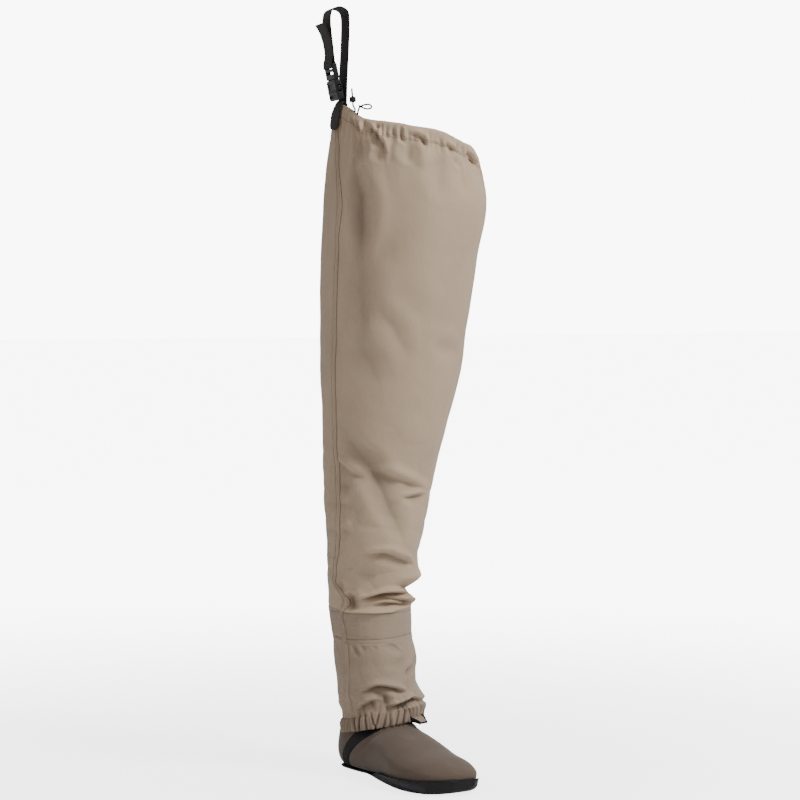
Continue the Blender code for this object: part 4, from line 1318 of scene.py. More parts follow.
@dataclass
class Leg:
    """Fabric leg with its folds, lining, outseam and collar casing."""

    wardrobe: Wardrobe
    columns: int = 268
    casing_columns: int = 560
    lining_step: int = 5
    casing_height: float = 0.0185
    casing_proud: float = 0.0022
    casing_inward: float = 0.0030
    seam_width: float = 0.0085
    seam_thickness: float = 0.0008
    stitch_lines: tuple[float, float] = (-0.0022, 0.0020)
    slanted_from: float = 0.60
    back_share: float = 0.35
    tuck_height: float = 0.2236
    bands: tuple[tuple[float, float, int], ...] = (
        (0.1483, 0.2185, 10), (0.2185, 0.312, 88), (0.312, 0.470, 66), (0.470, 0.780, 62),
        (0.780, 0.8865, 70),
    )
    gathers: list[tuple[float, float, float, float]] = field(default_factory=list)

    def __post_init__(self) -> None:
        """Draw the small gathers of the casing, the same in each run."""
        draw = np.random.default_rng(11)
        turn = -180.0
        while turn < 178.0:
            tight = 30.0 < turn < 92.0
            turn += draw.uniform(2.6, 5.4) if tight else draw.uniform(4.0, 10.0)
            depth = draw.uniform(0.0014, 0.0030) if tight else draw.uniform(0.0006, 0.0022)
            self.gathers.append((turn, draw.uniform(0.8, 1.7), depth, draw.uniform(0.006, 0.026)))

    def gathered(self, turn: np.ndarray, below: np.ndarray) -> np.ndarray:
        """Say how far the casing's gathers move the cloth.

        Args:
            turn: Turns in degrees.
            below: Distances under the casing's lower edge, negative on the casing.

        Returns:
            Distances outwards.
        """
        made = np.zeros_like(turn)
        under, over = np.clip(below, 0.0, None), np.clip(-below, 0.0, None)
        for middle, width, depth, length in self.gathers:
            slant = middle + (90.0 * below) * math.sin(middle)
            across = wrap(turn - slant) / (width * (1.0 + 24.0 * np.clip(below, 0.0, 0.1)))
            fall = np.exp(-under / length) * np.exp(-((over / 0.013) ** 2))
            across = np.abs(across)
            made += depth * fall * (0.5 * np.exp(-((across - 1.8) ** 2)) - np.exp(-across ** 1.5))
        return made

    def relief(self, turn: np.ndarray, high: np.ndarray) -> np.ndarray:
        """Sum every fold, gather and ripple of the leg.

        Args:
            turn: Turns in degrees.
            high: Heights.

        Returns:
            Distances outwards.
        """
        spots = LEG.point(turn, high, 0.0)
        drift, rise = wander(spots, 0.034, 13.0), wander(spots, 0.034, 17.0)
        bent, lifted = turn + 1.7 * drift, high + 0.0016 * rise
        made = np.zeros_like(turn)
        for fold in LEG_FOLDS:
            made += fold.offset(LEG, bent, lifted)
        made *= 1.0 - self.back_share * soft_step(100.0, 130.0, np.abs(wrap(turn)))
        below = rim_height(turn) - self.casing_height - high
        made += self.gathered(turn, below)
        made += 0.0020 * wander(spots, 0.11, 3.1) + 0.0007 * rise
        busy = soft_step(0.50, 0.36, high) + 0.25
        made -= 0.0012 * busy * (1.0 - crumple(spots * (1.0, 1.0, 1.6), 0.060, 2.3))
        front = soft_step(80.0, 60.0, turn) * soft_step(-12.0, 8.0, turn)
        tuck = self.tuck_height - 0.0026 * front
        bulge = 0.0021 + 0.0026 * front + 0.0008 * drift
        made *= soft_step(tuck + 0.0010, tuck + 0.0065, high)
        rest = np.clip(high - tuck - 0.0022, 0.0, None) / (0.0125 - 0.0075 * front)
        made += bulge * np.exp(-(rest**2))
        hidden = soft_step(tuck + 0.0012, tuck - 0.0004, high)
        made = made * (1.0 - hidden) - 0.0032 * hidden * soft_step(0.150, 0.160, high)
        return made * soft_step(-self.casing_height, -self.casing_height + 0.008, below)

    def surface(self, turn: np.ndarray, high: np.ndarray, out: float = 0.0) -> np.ndarray:
        """Find points on the creased leg, lifted by a distance."""
        return LEG.point(turn, high, self.relief(turn, high) + out)

    def spread_turn(self, first: np.ndarray) -> np.ndarray:
        """Give turns with twice as many columns over the front and outer side."""
        marks = np.array([0.0, 0.205, 0.845, 1.0])
        return np.interp(first, marks, np.array([-180.0, -72.0, 108.0, 180.0]))

    def build_shell(self) -> None:
        """Make the fabric leg as a closed shell: the outside up, the lining down."""
        levels = [self.bands[0][0]]
        for low, top, rows in self.bands:
            levels += list(np.linspace(low, top, rows + 1)[1:])
        level = np.array(levels)[:, None]
        turn = self.spread_turn(np.linspace(0.0, 1.0, self.columns + 1))[None, :]
        top = rim_height(turn) - self.casing_height + 0.004
        start = self.slanted_from
        slanted = start + (level - start) / (level[-1] - start) * (top - start)
        high = np.where(level > start, slanted, level)
        turn = turn + 0.0 * high
        outer = self.relief(turn.ravel(), high.ravel()).reshape(high.shape)
        lowest = outer
        round_again = np.r_[0:self.columns, 0]
        for shift in range(-2, 3):
            lowest = np.minimum(lowest, np.roll(outer[:, :-1], shift, axis=1)[:, round_again])
        picks = list(range(len(levels) - 1, 0, -self.lining_step)) + [0]
        inner = []
        for k in range(len(picks)):
            above, below = picks[max(k - 1, 0)], picks[min(k + 1, len(picks) - 1)]
            inner.append(lowest[below:above + 1].min(axis=0) - FABRIC)
        rows = np.r_[0:len(levels), picks, 0]
        out = np.vstack([outer, np.array(inner), outer[:1]]).ravel()
        turn, high = turn[rows].ravel(), high[rows].ravel()
        girth = LEG.girth(high)
        steps = len(rows) - 1
        first, _ = shares(self.columns, steps)
        # The relief measure drives the painted fold shade and highlight; from_seam also places the painted
        # shadow lines by the outseam.
        shell = wrap_grid(
            "leg_shell", self.columns, steps, LEG.point(turn, high, out),
            np.stack([2 * math.pi * girth * (first - 0.5), high], axis=-1),
            measures={
                "relief": np.clip(out / 0.005, -1.6, 1.2),
                "from_seam": np.radians(wrap(turn - SEAM.read(1, high))) * girth,
            },
        )
        smooth(shell, 80.0)
        finish_piece(shell, self.wardrobe.leg, ["leg"], [self.wardrobe.lining])
        for face in shell.data.polygons:
            spot, share = face.center, np.array(face.center.z / COLLAR_HEIGHT)
            x = spot.x - THIGH_WIDTH * float(LEG.table.read(1, share))
            y = spot.y + THIGH_WIDTH * float(LEG.table.read(2, share))
            if face.normal.x * x + face.normal.y * y < 0.0:
                face.material_index = 1

    def build_casing(self) -> None:
        """Make the gathered drawcord tunnel round the rim."""
        proud, inward = self.casing_proud, -self.casing_inward
        outer = [
            (0.20, -1.01), (0.34, -0.97), (0.36, -0.93), (0.26, -0.89), (0.30, -0.84), (0.42, -0.74),
            (0.56, -0.62), (0.72, -0.48), (0.86, -0.34), (0.86, -0.20), (0.62, -0.07), (0.26, 0.0),
        ]
        inner = [
            (0.05, 0.03), (0.45, -0.04), (0.80, -0.14), (1.0, -0.30), (1.0, -0.52), (0.90, -0.74),
            (0.60, -0.86), (0.72, -0.94), (0.55, -1.02),
        ]
        table = [(proud * out, up, 1.0) for out, up in outer]
        table += [(inward * out, up, 0.0) for out, up in inner]
        profile = np.array(table)
        steps = len(profile)
        first, second = shares(self.casing_columns, steps)
        out, up, outer_side = profile[nearest(second, steps) % steps].T
        turn = self.spread_turn(first)
        top = rim_height(turn)
        spots = LEG.point(turn, top, 0.0)
        high = top + up * self.casing_height + self.casing_wave(spots) * (1.0 + up) ** 2
        ruffle = self.casing_ruffle(spots) * (0.4 + 0.6 * soft_step(0.0, -1.0, up))
        outside = out + self.relief(turn, high) + ruffle * outer_side
        within = out + 0.5 * self.gathered(turn, np.full_like(turn, -0.004)) + ruffle
        casing = wrap_grid(
            "casing_tunnel", self.casing_columns, steps,
            LEG.point(turn, high, np.where(outer_side > 0.5, outside, within)),
            np.stack([2 * math.pi * 0.1 * first, up * 0.02 + out], axis=-1),
        )
        # Relief for the painted shade and highlight on the casing's folds.
        spots = points_of(casing)
        relief = self.relief(LEG.turn_of(spots), spots[:, 2])
        add_measure(casing, "relief", np.clip(relief / 0.003, -1.6, 1.0))
        add_measure(casing, "from_seam", np.ones(len(spots)))
        smooth(casing, 80.0)
        finish_piece(casing, self.wardrobe.leg, ["collar_casing"])

    def casing_wave(self, spots: np.ndarray) -> np.ndarray:
        """Say how far the casing's edge wanders up and down."""
        return 0.0011 * wander(spots, 0.021, 1.0)

    def casing_ruffle(self, spots: np.ndarray) -> np.ndarray:
        """Say how far the casing's small ruffles reach outwards."""
        return 0.0009 * wander(spots, 0.010, 5.0)

    def seam_line(self, across: float, lift: float, low: float, high: float) -> np.ndarray:
        """Follow the outseam over the creased leg.

        Args:
            across: Distance to the outer side of the seam's middle.
            lift: Distance over the cloth.
            low: Height where the line starts.
            high: Height where it ends.

        Returns:
            Points from the lower end to the upper one.
        """
        level = np.linspace(low, high, 420)
        turn = SEAM.read(1, level) + np.degrees(across / LEG.girth(level))
        return self.surface(turn, level, lift)

    def build_seam(self) -> None:
        """Make the raised outseam and the stitches beside it."""
        low = BAND_TOP + 0.001
        top_turn = float(SEAM.read(1, np.array(0.88)))
        high = float(rim_height(np.array(top_turn))) - self.casing_height - 0.001
        half, thick = self.seam_width / 2, self.seam_thickness
        section = (
            (-1.0, -0.2), (-0.98, 0.9), (-0.84, 1.15), (-0.5, 1.0), (0.1, 0.8), (0.6, 0.5), (1.0, 0.0),
            (0.0, -0.3), (-1.0, -0.2),
        )
        table = [self.seam_line(half * across, GAP + thick * up, low, high) for across, up in section]
        strip_grid("outseam", np.array(table), self.wardrobe.leg, ["side_seam"])
        lines = []
        for across in self.stitch_lines:
            line = self.seam_line(across, GAP + thick * 0.95, low, high)
            turn = SEAM.read(1, np.linspace(low, high, len(line)))
            lines.append((line, outward(turn)))
        stitches = StitchRows().build("outseam_stitches", lines)
        finish_piece(stitches, self.wardrobe.thread)

    def build_casing_stitches(self) -> None:
        """Sew the row of stitches along the casing's lower edge."""
        turn = np.linspace(0.0, 360.0, 1400)
        spots = LEG.point(turn, rim_height(turn), 0.0)
        high = rim_height(turn) - 0.89 * self.casing_height + self.casing_wave(spots) * 0.11**2
        line = LEG.point(turn, high, 0.0007 + self.relief(turn, high) + self.casing_ruffle(spots))
        stitches = StitchRows().build("casing_stitches", [(line, outward(turn))])
        finish_piece(stitches, self.wardrobe.thread)

    def build(self) -> None:
        """Build the whole leg."""
        self.build_shell()
        self.build_casing()
        self.build_seam()
        self.build_casing_stitches()


@dataclass
class GravelGuard:
    """Doubled band, loose guard, gathered hem and lace hook over the ankle."""

    wardrobe: Wardrobe
    columns: int = 176
    rows: int = 84
    band_columns: int = 300
    hem_columns: int = 620
    hem_height: float = 0.0180
    hem_thickness: float = 0.0034
    band_thickness: float = 0.0016
    seam_half_width: float = 0.0042
    seam_thickness: float = 0.0006
    hook_turn: float = -20.0
    hook_width: float = 0.030
    hook_narrowing: float = 0.46
    hook_bound_from: float = 0.0138
    gathers: list[tuple[float, float, float, float]] = field(default_factory=list)

    def __post_init__(self) -> None:
        """Draw the gathers of the elastic hem, the same in each run."""
        draw = np.random.default_rng(5)
        turn = -180.0
        while turn < 172.0:
            turn += draw.uniform(4.5, 10.5)
            self.gathers.append((
                turn, draw.uniform(1.1, 2.3), draw.uniform(0.0018, 0.0036), draw.uniform(-5.0, 6.0)
            ))

    def gathered(self, turn: np.ndarray, up: np.ndarray) -> np.ndarray:
        """Say how far the hem's gathers move the cloth.

        Args:
            turn: Turns in degrees.
            up: Shares of the hem's height, above 1 on the guard.

        Returns:
            Distances outwards.
        """
        made = np.zeros_like(turn)
        for middle, width, depth, slant in self.gathers:
            across = wrap(turn - middle - slant * (up - 0.5)) / width
            spread = 1.0 + 0.5 * np.clip(up - 1.0, 0.0, 2.0)
            across = np.abs(across) / spread
            made += depth * (0.5 * np.exp(-(((across - 1.8) / 0.9) ** 2)) - np.exp(-1.3 * across**1.3))
        return made

    def relief(self, turn: np.ndarray, high: np.ndarray) -> np.ndarray:
        """Sum every fold, gather and ripple of the guard.

        Args:
            turn: Turns in degrees.
            high: Heights.

        Returns:
            Distances outwards.
        """
        spots = GUARD.point(turn, high, 0.0)
        drift, rise = wander(spots, 0.030, 4.2), wander(spots, 0.030, 6.1)
        bent, lifted = turn + 1.6 * drift, high + 0.0010 * rise
        made = np.zeros_like(turn)
        for fold in GUARD_FOLDS:
            made += fold.offset(GUARD, bent, lifted)
        up = (high - hem_bottom(turn)) / self.hem_height
        made += self.gathered(turn, up) * np.exp(-np.clip(up - 1.0, 0.0, None) * 1.6)
        made += 0.0010 * drift + 0.0006 * rise
        made -= 0.0010 * (1.0 - crumple(spots, 0.045, 8.8))
        top = band_low(turn)
        made *= soft_step(top + 0.001, top - 0.006, high)
        return made - 0.0022 * soft_step(top - 0.001, top + 0.002, high)

    def build_guard(self) -> None:
        """Make the loose guard from the hem to the band."""
        first, second = shares(self.columns, self.rows)
        turn = 360.0 * first - 180.0
        low = hem_bottom(turn) + self.hem_height - 0.003
        high = low + (band_low(turn) + 0.0035 - low) * second
        guard = wrap_grid(
            "guard_cuff", self.columns, self.rows, GUARD.point(turn, high, self.relief(turn, high)),
            np.stack([2 * math.pi * GUARD.girth(high) * first, high], axis=-1),
        )
        # Relief for the painted shade and highlight on the guard's folds.
        points = points_of(guard)
        relief = self.relief(GUARD.turn_of(points), points[:, 2])
        add_measure(guard, "relief", np.clip(relief / 0.0035, -1.6, 1.2))
        apply_modifier(guard, "SOLIDIFY", thickness=FABRIC, offset=-1.0)
        smooth(guard, 80.0)
        finish_piece(guard, self.wardrobe.guard, ["gravel_guard"])

    def build_seam(self) -> None:
        """Carry the outseam down over the band and the guard as a flat felled seam."""
        section = (
            (-1.0, 0.0), (-0.97, 0.9), (-0.8, 1.15), (-0.5, 0.8), (0.5, 0.7), (0.8, 1.1), (0.97, 0.8),
            (1.0, 0.0), (0.0, -0.4), (-1.0, 0.0),
        )
        line = SmoothTable(GUARD_SEAM_ROWS)
        low = np.linspace(0.0905, BAND_BOTTOM + 0.001, 150)
        high = np.linspace(BAND_BOTTOM + 0.0015, BAND_TOP - 0.0015, 60)
        on_guard, on_band = [], []
        for share, up in section:
            across, lift = share * self.seam_half_width, GAP + self.seam_thickness * up
            turn = line.read(1, low) + np.degrees(across / GUARD.girth(low))
            on_guard.append(GUARD.point(turn, low, lift + self.relief(turn, low)))
            turn = SEAM.read(1, high) + np.degrees(across / LEG.girth(high))
            lift += GAP + self.band_thickness
            on_band.append(LEG.point(turn, high, lift + self.band_ripple(turn, high)))
        strip_grid("guard_seam", np.array(on_guard), self.wardrobe.guard)
        strip_grid("band_seam", np.array(on_band), self.wardrobe.band)

    def band_ripple(self, turn: np.ndarray, high: np.ndarray) -> np.ndarray:
        """Say how far the band's cloth ripples outwards.

        Args:
            turn: Turns in degrees.
            high: Heights.

        Returns:
            Distances outwards.
        """
        spots = LEG.point(turn, high, 0.0)
        made = 0.0010 * wander(spots, 0.035, 2.2) + 0.0012 * wander(spots * (1, 1, 0.25), 0.018, 4.4)
        return made - 0.0008 * (1.0 - crumple(spots, 0.040, 3.9))

    def build_band(self) -> None:
        """Make the doubled band with its rows of stitches."""
        outer = GAP + self.band_thickness
        profile = np.array([
            (0.1, -0.02), (0.8, -0.03), (1.15, 0.0), (1.15, 0.06), (0.9, 0.10), (0.72, 0.125), (1.0, 0.16),
            (1.0, 0.25), (1.0, 0.34), (1.0, 0.43), (1.0, 0.52), (1.0, 0.61), (1.0, 0.70), (1.0, 0.79),
            (1.0, 0.85), (0.78, 0.875), (1.0, 0.90), (0.95, 0.96), (0.6, 0.99), (0.15, 1.0), (0.1, 0.5),
        ])
        steps = len(profile)
        first, second = shares(self.band_columns, steps)
        turn = 360.0 * first
        share, up = profile[nearest(second, steps) % steps].T
        high = band_low(turn) + (BAND_TOP - band_low(turn)) * up
        out = outer * share + np.where(share > 0.5, self.band_ripple(turn, high), 0.0)
        cloth = np.stack([2 * math.pi * LEG.girth(high) * first, high], axis=-1)
        band = wrap_grid("guard_band_cloth", self.band_columns, steps, LEG.point(turn, high, out), cloth)
        add_measure(band, "relief", np.zeros(len(band.data.vertices)))
        smooth(band, 45.0)
        finish_piece(band, self.wardrobe.band, ["guard_band"])
        turn = np.linspace(0.0, 360.0, 500)
        lines = []
        for up in (0.125, 0.875):
            high = band_low(turn) + (BAND_TOP - band_low(turn)) * up
            line = LEG.point(turn, high, outer * 0.86 + self.band_ripple(turn, high))
            lines.append((line, outward(turn)))
        stitches = StitchRows().build("band_stitches", lines)
        finish_piece(stitches, self.wardrobe.thread)

    def build_hem(self) -> None:
        """Make the gathered elastic hem."""
        profile = smooth_line([
            (-0.45, 0.06), (-0.10, 0.00), (0.42, 0.08), (0.62, 0.28), (0.66, 0.55), (0.52, 0.82),
            (0.30, 0.96), (0.0, 1.0), (-0.45, 0.92), (-0.52, 0.5), (-0.45, 0.06),
        ], 2)
        steps = len(profile) - 1
        first, second = shares(self.hem_columns, steps)
        out, up = profile[nearest(second, steps) % steps].T
        turn = 360.0 * first
        low = hem_bottom(turn)
        outside = soft_step(-0.2, 0.3, out)
        pull = self.gathered(wrap(turn), up)
        ruffle = 0.0006 * wander(GUARD.point(turn, low, 0.0), 0.006, 3.0)
        puff = 1.15 * self.hem_thickness * out + outside * (pull + ruffle)
        high = low + self.hem_height * up + 0.9 * outside * (up - 0.5) * pull
        girth = 2 * math.pi * GUARD.girth(high)
        cloth = np.stack([girth * first, up * 0.02 + out * 0.003], axis=-1)
        hem = wrap_grid("hem_elastic", self.hem_columns, steps, GUARD.point(turn, high, puff), cloth)
        # Relief for the painted shade in the gathers' troughs and highlight on their crests.
        points = points_of(hem)
        turn = GUARD.turn_of(points)
        up = (points[:, 2] - hem_bottom(turn)) / self.hem_height
        add_measure(hem, "relief", np.clip(self.gathered(turn, up) / 0.0013, -2.2, 1.0))
        smooth(hem, 80.0)
        finish_piece(hem, self.wardrobe.hem, ["guard_hem"])

    def hook_half(self, reach: np.ndarray) -> np.ndarray:
        """Give half the hook's width at distances out from the hem."""
        return (1.0 - self.hook_narrowing * soft_step(0.002, 0.0143, reach)) * self.hook_width / 2

    def build_hook(self) -> None:
        """Make the folded tab that hooks on a lace, with black bound edges."""
        away, side = outward(self.hook_turn), outward(self.hook_turn + 90.0)
        low = hem_bottom(np.array(self.hook_turn))
        seat = GUARD.point(np.array(self.hook_turn), low + 0.30 * self.hem_height, 0.0) + away * 0.0006
        line = smooth_line([
            (-0.003, -0.0022), (0.003, -0.0028), (0.009, -0.0048), (0.0150, -0.0078),
        ], 5)
        run = along_line(line)
        edge = [(-1.0, 0.0), (-0.97, 0.7), (-0.82, 0.75), (-0.8, 0.45)]
        upper = edge + [(0.0, 0.45)] + [(-across, over) for across, over in reversed(edge[1:])]
        under = [(1.0, 0.0), (0.97, -0.7), (0.82, -0.75), (0.8, -0.45), (-0.8, -0.45), (-0.82, -0.75)]
        section = np.array(upper + under + [(-0.97, -0.7), (-1.0, 0.0)])
        hook = sweep(
            "lace_hook_tab", line, section, seat, away, side, self.hook_half(line[:, 0]),
            0.0056 - 0.0032 * run / run[-1],
        )
        add_measure(hook, "relief", np.zeros(len(hook.data.vertices)))
        smooth(hook, 50.0)
        finish_piece(hook, self.wardrobe.hem, ["lace_hook"], [self.wardrobe.edge])
        for face in hook.data.polygons:
            spot = np.array(face.center) - seat
            reach = float(spot @ away)
            rim = abs(float(spot @ side)) > 0.80 * float(self.hook_half(np.array(reach)))
            if rim or reach > self.hook_bound_from or face.normal.z < -0.3:
                face.material_index = 1

    def build(self) -> None:
        """Build the whole guard."""
        self.build_guard()
        self.build_band()
        self.build_seam()
        self.build_hem()
        self.build_hook()


@dataclass
class Foot:
    """Foam bootie with its tapes, and the thin sole with its rand."""

    wardrobe: Wardrobe
    frame: dict
    instep_dent: float = 0.0022
    crease_depth: float = 0.0016
    heel_fullness: float = 0.05
    heel_drop: float = 0.0030
    heel_reach: float = 0.0025
    toe_rise: float = 0.0045
    toe_reach: float = 0.0030
    sole_heel_narrowing: float = 0.19
    sole_heel_inset: float = 0.0085
    tape_width: float = 0.0175
    tape_thickness: float = 0.0009
    tape_line: tuple[tuple[float, float], ...] = (
        (0.171, 0.02), (0.177, 0.17), (0.230, 0.38), (0.316, 0.576), (0.412, 0.752), (0.474, 0.92),
        (0.515, 1.03), (0.560, 1.12),
    )
    tree: BVHTree | None = None

    def copied(self, node: str, name: str) -> bpy.types.Object:
        """Copy a solid's mesh and make its faces quads, ready to be subdivided.

        Args:
            node: The solid.
            name: Name of the copy.

        Returns:
            The copy.
        """
        source = self.frame["nodes"][node]
        piece = source.copy()
        piece.data = source.data.copy()
        piece.name = piece.data.name = name
        for key in list(piece.keys()):
            del piece[key]
        piece.parent = None
        bpy.context.scene.collection.objects.link(piece)
        edit_all(piece)
        bpy.ops.mesh.remove_doubles(threshold=1e-5)
        bpy.ops.mesh.customdata_custom_splitnormals_clear()
        bpy.ops.mesh.tris_convert_to_quads(
            face_threshold=math.radians(45), shape_threshold=math.radians(100)
        )
        bpy.ops.object.mode_set(mode="OBJECT")
        return piece

    def keep_edges(self, piece: bpy.types.Object, angle: float) -> None:
        """Hold edges sharper than an angle while the piece is subdivided.

        Args:
            piece: The piece.
            angle: Least angle in degrees.
        """
        sides: dict[tuple[int, int], list[Vector]] = {}
        for face in piece.data.polygons:
            for key in face.edge_keys:
                sides.setdefault(key, []).append(face.normal.copy())
        values = []
        for edge in piece.data.edges:
            near = sides.get(edge.key, [])
            sharp = len(near) == 2 and near[0].angle(near[1], 0.0) > math.radians(angle)
            values.append(float(sharp))
        made = piece.data.attributes.new("crease_edge", "FLOAT", "EDGE")
        made.data.foreach_set("value", values)

    def build_bootie(self) -> None:
        """Make the bootie: the solid's quads, subdivided and smoothed."""
        piece = self.copied("bootie", "bootie_foam")
        apply_modifier(piece, "SUBSURF", levels=2, render_levels=2)
        apply_modifier(piece, "SMOOTH", factor=0.5, iterations=4)
        points = points_of(piece)
        x, y, z = points.T
        front = np.exp(-((x / 0.020) ** 2)) * soft_step(-0.165, -0.120, y) * soft_step(0.030, 0.045, z)
        z -= self.instep_dent * front * soft_step(-0.050, -0.075, y)
        crease = np.exp(-((((z - 0.060) + 0.9 * (y + 0.088)) / 0.004) ** 2))
        x += self.crease_depth * crease * soft_step(0.032, 0.046, z) * soft_step(-0.004, -0.016, x)
        heel = soft_step(0.045, 0.018, z) * soft_step(-0.090, -0.040, y)
        x *= 1.0 + self.heel_fullness * heel
        z -= self.heel_drop * soft_step(0.030, 0.012, z) * soft_step(-0.120, -0.060, y)
        y += self.heel_reach * heel * soft_step(0.0, 0.030, y)
        toe = soft_step(-0.160, -0.205, y) * soft_step(0.013, 0.024, z)
        z += self.toe_rise * toe
        y -= self.toe_reach * toe
        place_points(piece, points)
        smooth(piece, 80.0)
        self.tree = BVHTree.FromPolygons(
            [vertex.co for vertex in piece.data.vertices],
            [face.vertices[:] for face in piece.data.polygons],
        )
        finish_piece(piece, self.wardrobe.foam, ["bootie"])

    def cast(self, start: Sequence[float], way: Sequence[float], lift: float) -> np.ndarray | None:
        """Find the spot just over where a straight line first meets the bootie.

        Args:
            start: Where the line starts.
            way: Its direction.
            lift: Distance over the surface.

        Returns:
            The spot, or None where the line misses.
        """
        spot, normal, _, _ = self.tree.ray_cast(Vector(start), Vector(way))
        if spot is None:
            return None
        return np.array(spot + (normal if normal.dot(Vector(way)) < 0 else -normal) * lift)

    def build_sole(self) -> None:
        """Make the sole from its solid, with rounded edges and a glued joint on the rand."""
        sole = self.copied("sole", "sole_tread")
        self.keep_edges(sole, 24.0)
        apply_modifier(sole, "SUBSURF", levels=2, render_levels=2)
        points = points_of(sole)
        x, y, _ = points.T
        x *= 1.0 - self.sole_heel_narrowing * soft_step(-0.100, -0.040, y)
        y -= self.sole_heel_inset * soft_step(-0.004, 0.034, y)
        place_points(sole, points)
        smooth(sole, 50.0)
        finish_piece(sole, self.wardrobe.sole, ["sole"], [self.wardrobe.patch])
        for face in sole.data.polygons:
            spot = face.center
            if -0.212 < spot.y < -0.176 and spot.x < -0.02 and 0.003 < spot.z < 0.0145:
                face.material_index = 1

    def build_tape(self) -> None:
        """Lay the seam tape up both sides of the bootie."""
        line = [(HEEL_BACK - at * FOOT_LENGTH, INSTEP_HEIGHT * up) for at, up in self.tape_line]
        line = resample(smooth_line(line, 8), 0.0022)
        ahead = np.gradient(line, axis=0)
        normal = np.stack([-ahead[:, 1], ahead[:, 0]], axis=-1)
        normal /= np.linalg.norm(normal, axis=1)[:, None]
        strip = np.linspace(-0.5, 0.5, 11)
        for name, side in (("outer_seam_tape", -1.0), ("inner_seam_tape", 1.0)):
            table = []
            for spot, way in zip(line, normal):
                row = []
                for across in strip:
                    y, z = spot + way * across * self.tape_width
                    lift = self.tape_thickness * (1.0 - abs(2 * across) ** 8) + 0.0001
                    row.append(self.cast((side * 0.3, y, z), (-side, 0.0, 0.0), lift))
                if all(hit is not None for hit in row):
                    table.append(row)
            nodes = ["seam_tape"] if side < 0 else []
            cut = (self.tape_width, 0.15)
            self.lay(name, np.array(table), cut, self.tape_thickness, (side, 0.0, 0.0), nodes)

    def lay(
        self, name: str, table: np.ndarray, cut: tuple[float, float], thick: float,
        away: tuple[float, float, float], nodes: Sequence[str],
    ) -> None:
        """Lay a tape over rows of points on the bootie.

        Args:
            name: Name of the piece.
            table: Its points, row by row.
            cut: Its width and length.
            thick: Its thickness.
            away: Direction that its face looks to.
            nodes: Solids that it replaces.
        """
        rows, columns = table.shape[0] - 1, table.shape[1] - 1
        first, second = shares(columns, rows)
        points = table[nearest(second, rows), nearest(first, columns)]
        cloth = np.stack([first * cut[0], second * cut[1]], axis=-1)
        tape = wrap_grid(name, columns, rows, points, cloth)
        face_way(tape, away)
        apply_modifier(tape, "SOLIDIFY", thickness=thick, offset=-1.0)
        smooth(tape, 50.0)
        finish_piece(tape, self.wardrobe.tape, nodes)

    def build_heel_seam(self) -> None:
        """Lay the narrow tape up the back of the heel."""
        table = []
        for z in np.linspace(0.004, 0.037, 24):
            row = []
            for x in np.linspace(-0.0016, 0.0016, 5):
                hit = self.cast((x, 0.3, z), (0.0, -1.0, 0.0), 0.0008 if abs(x) < 0.0015 else 0.0002)
                row.append(np.array((x, HEEL_BACK, z)) if hit is None else hit)
            table.append(row)
        cut, back = (0.003, 0.03), (0.0, 1.0, 0.0)
        self.lay("heel_seam_tape", np.array(table), cut, 0.0008, back, ["heel_seam"])

    def build(self) -> None:
        """Build the whole foot."""
        self.build_bootie()
        self.build_sole()
        self.build_tape()
        self.build_heel_seam()


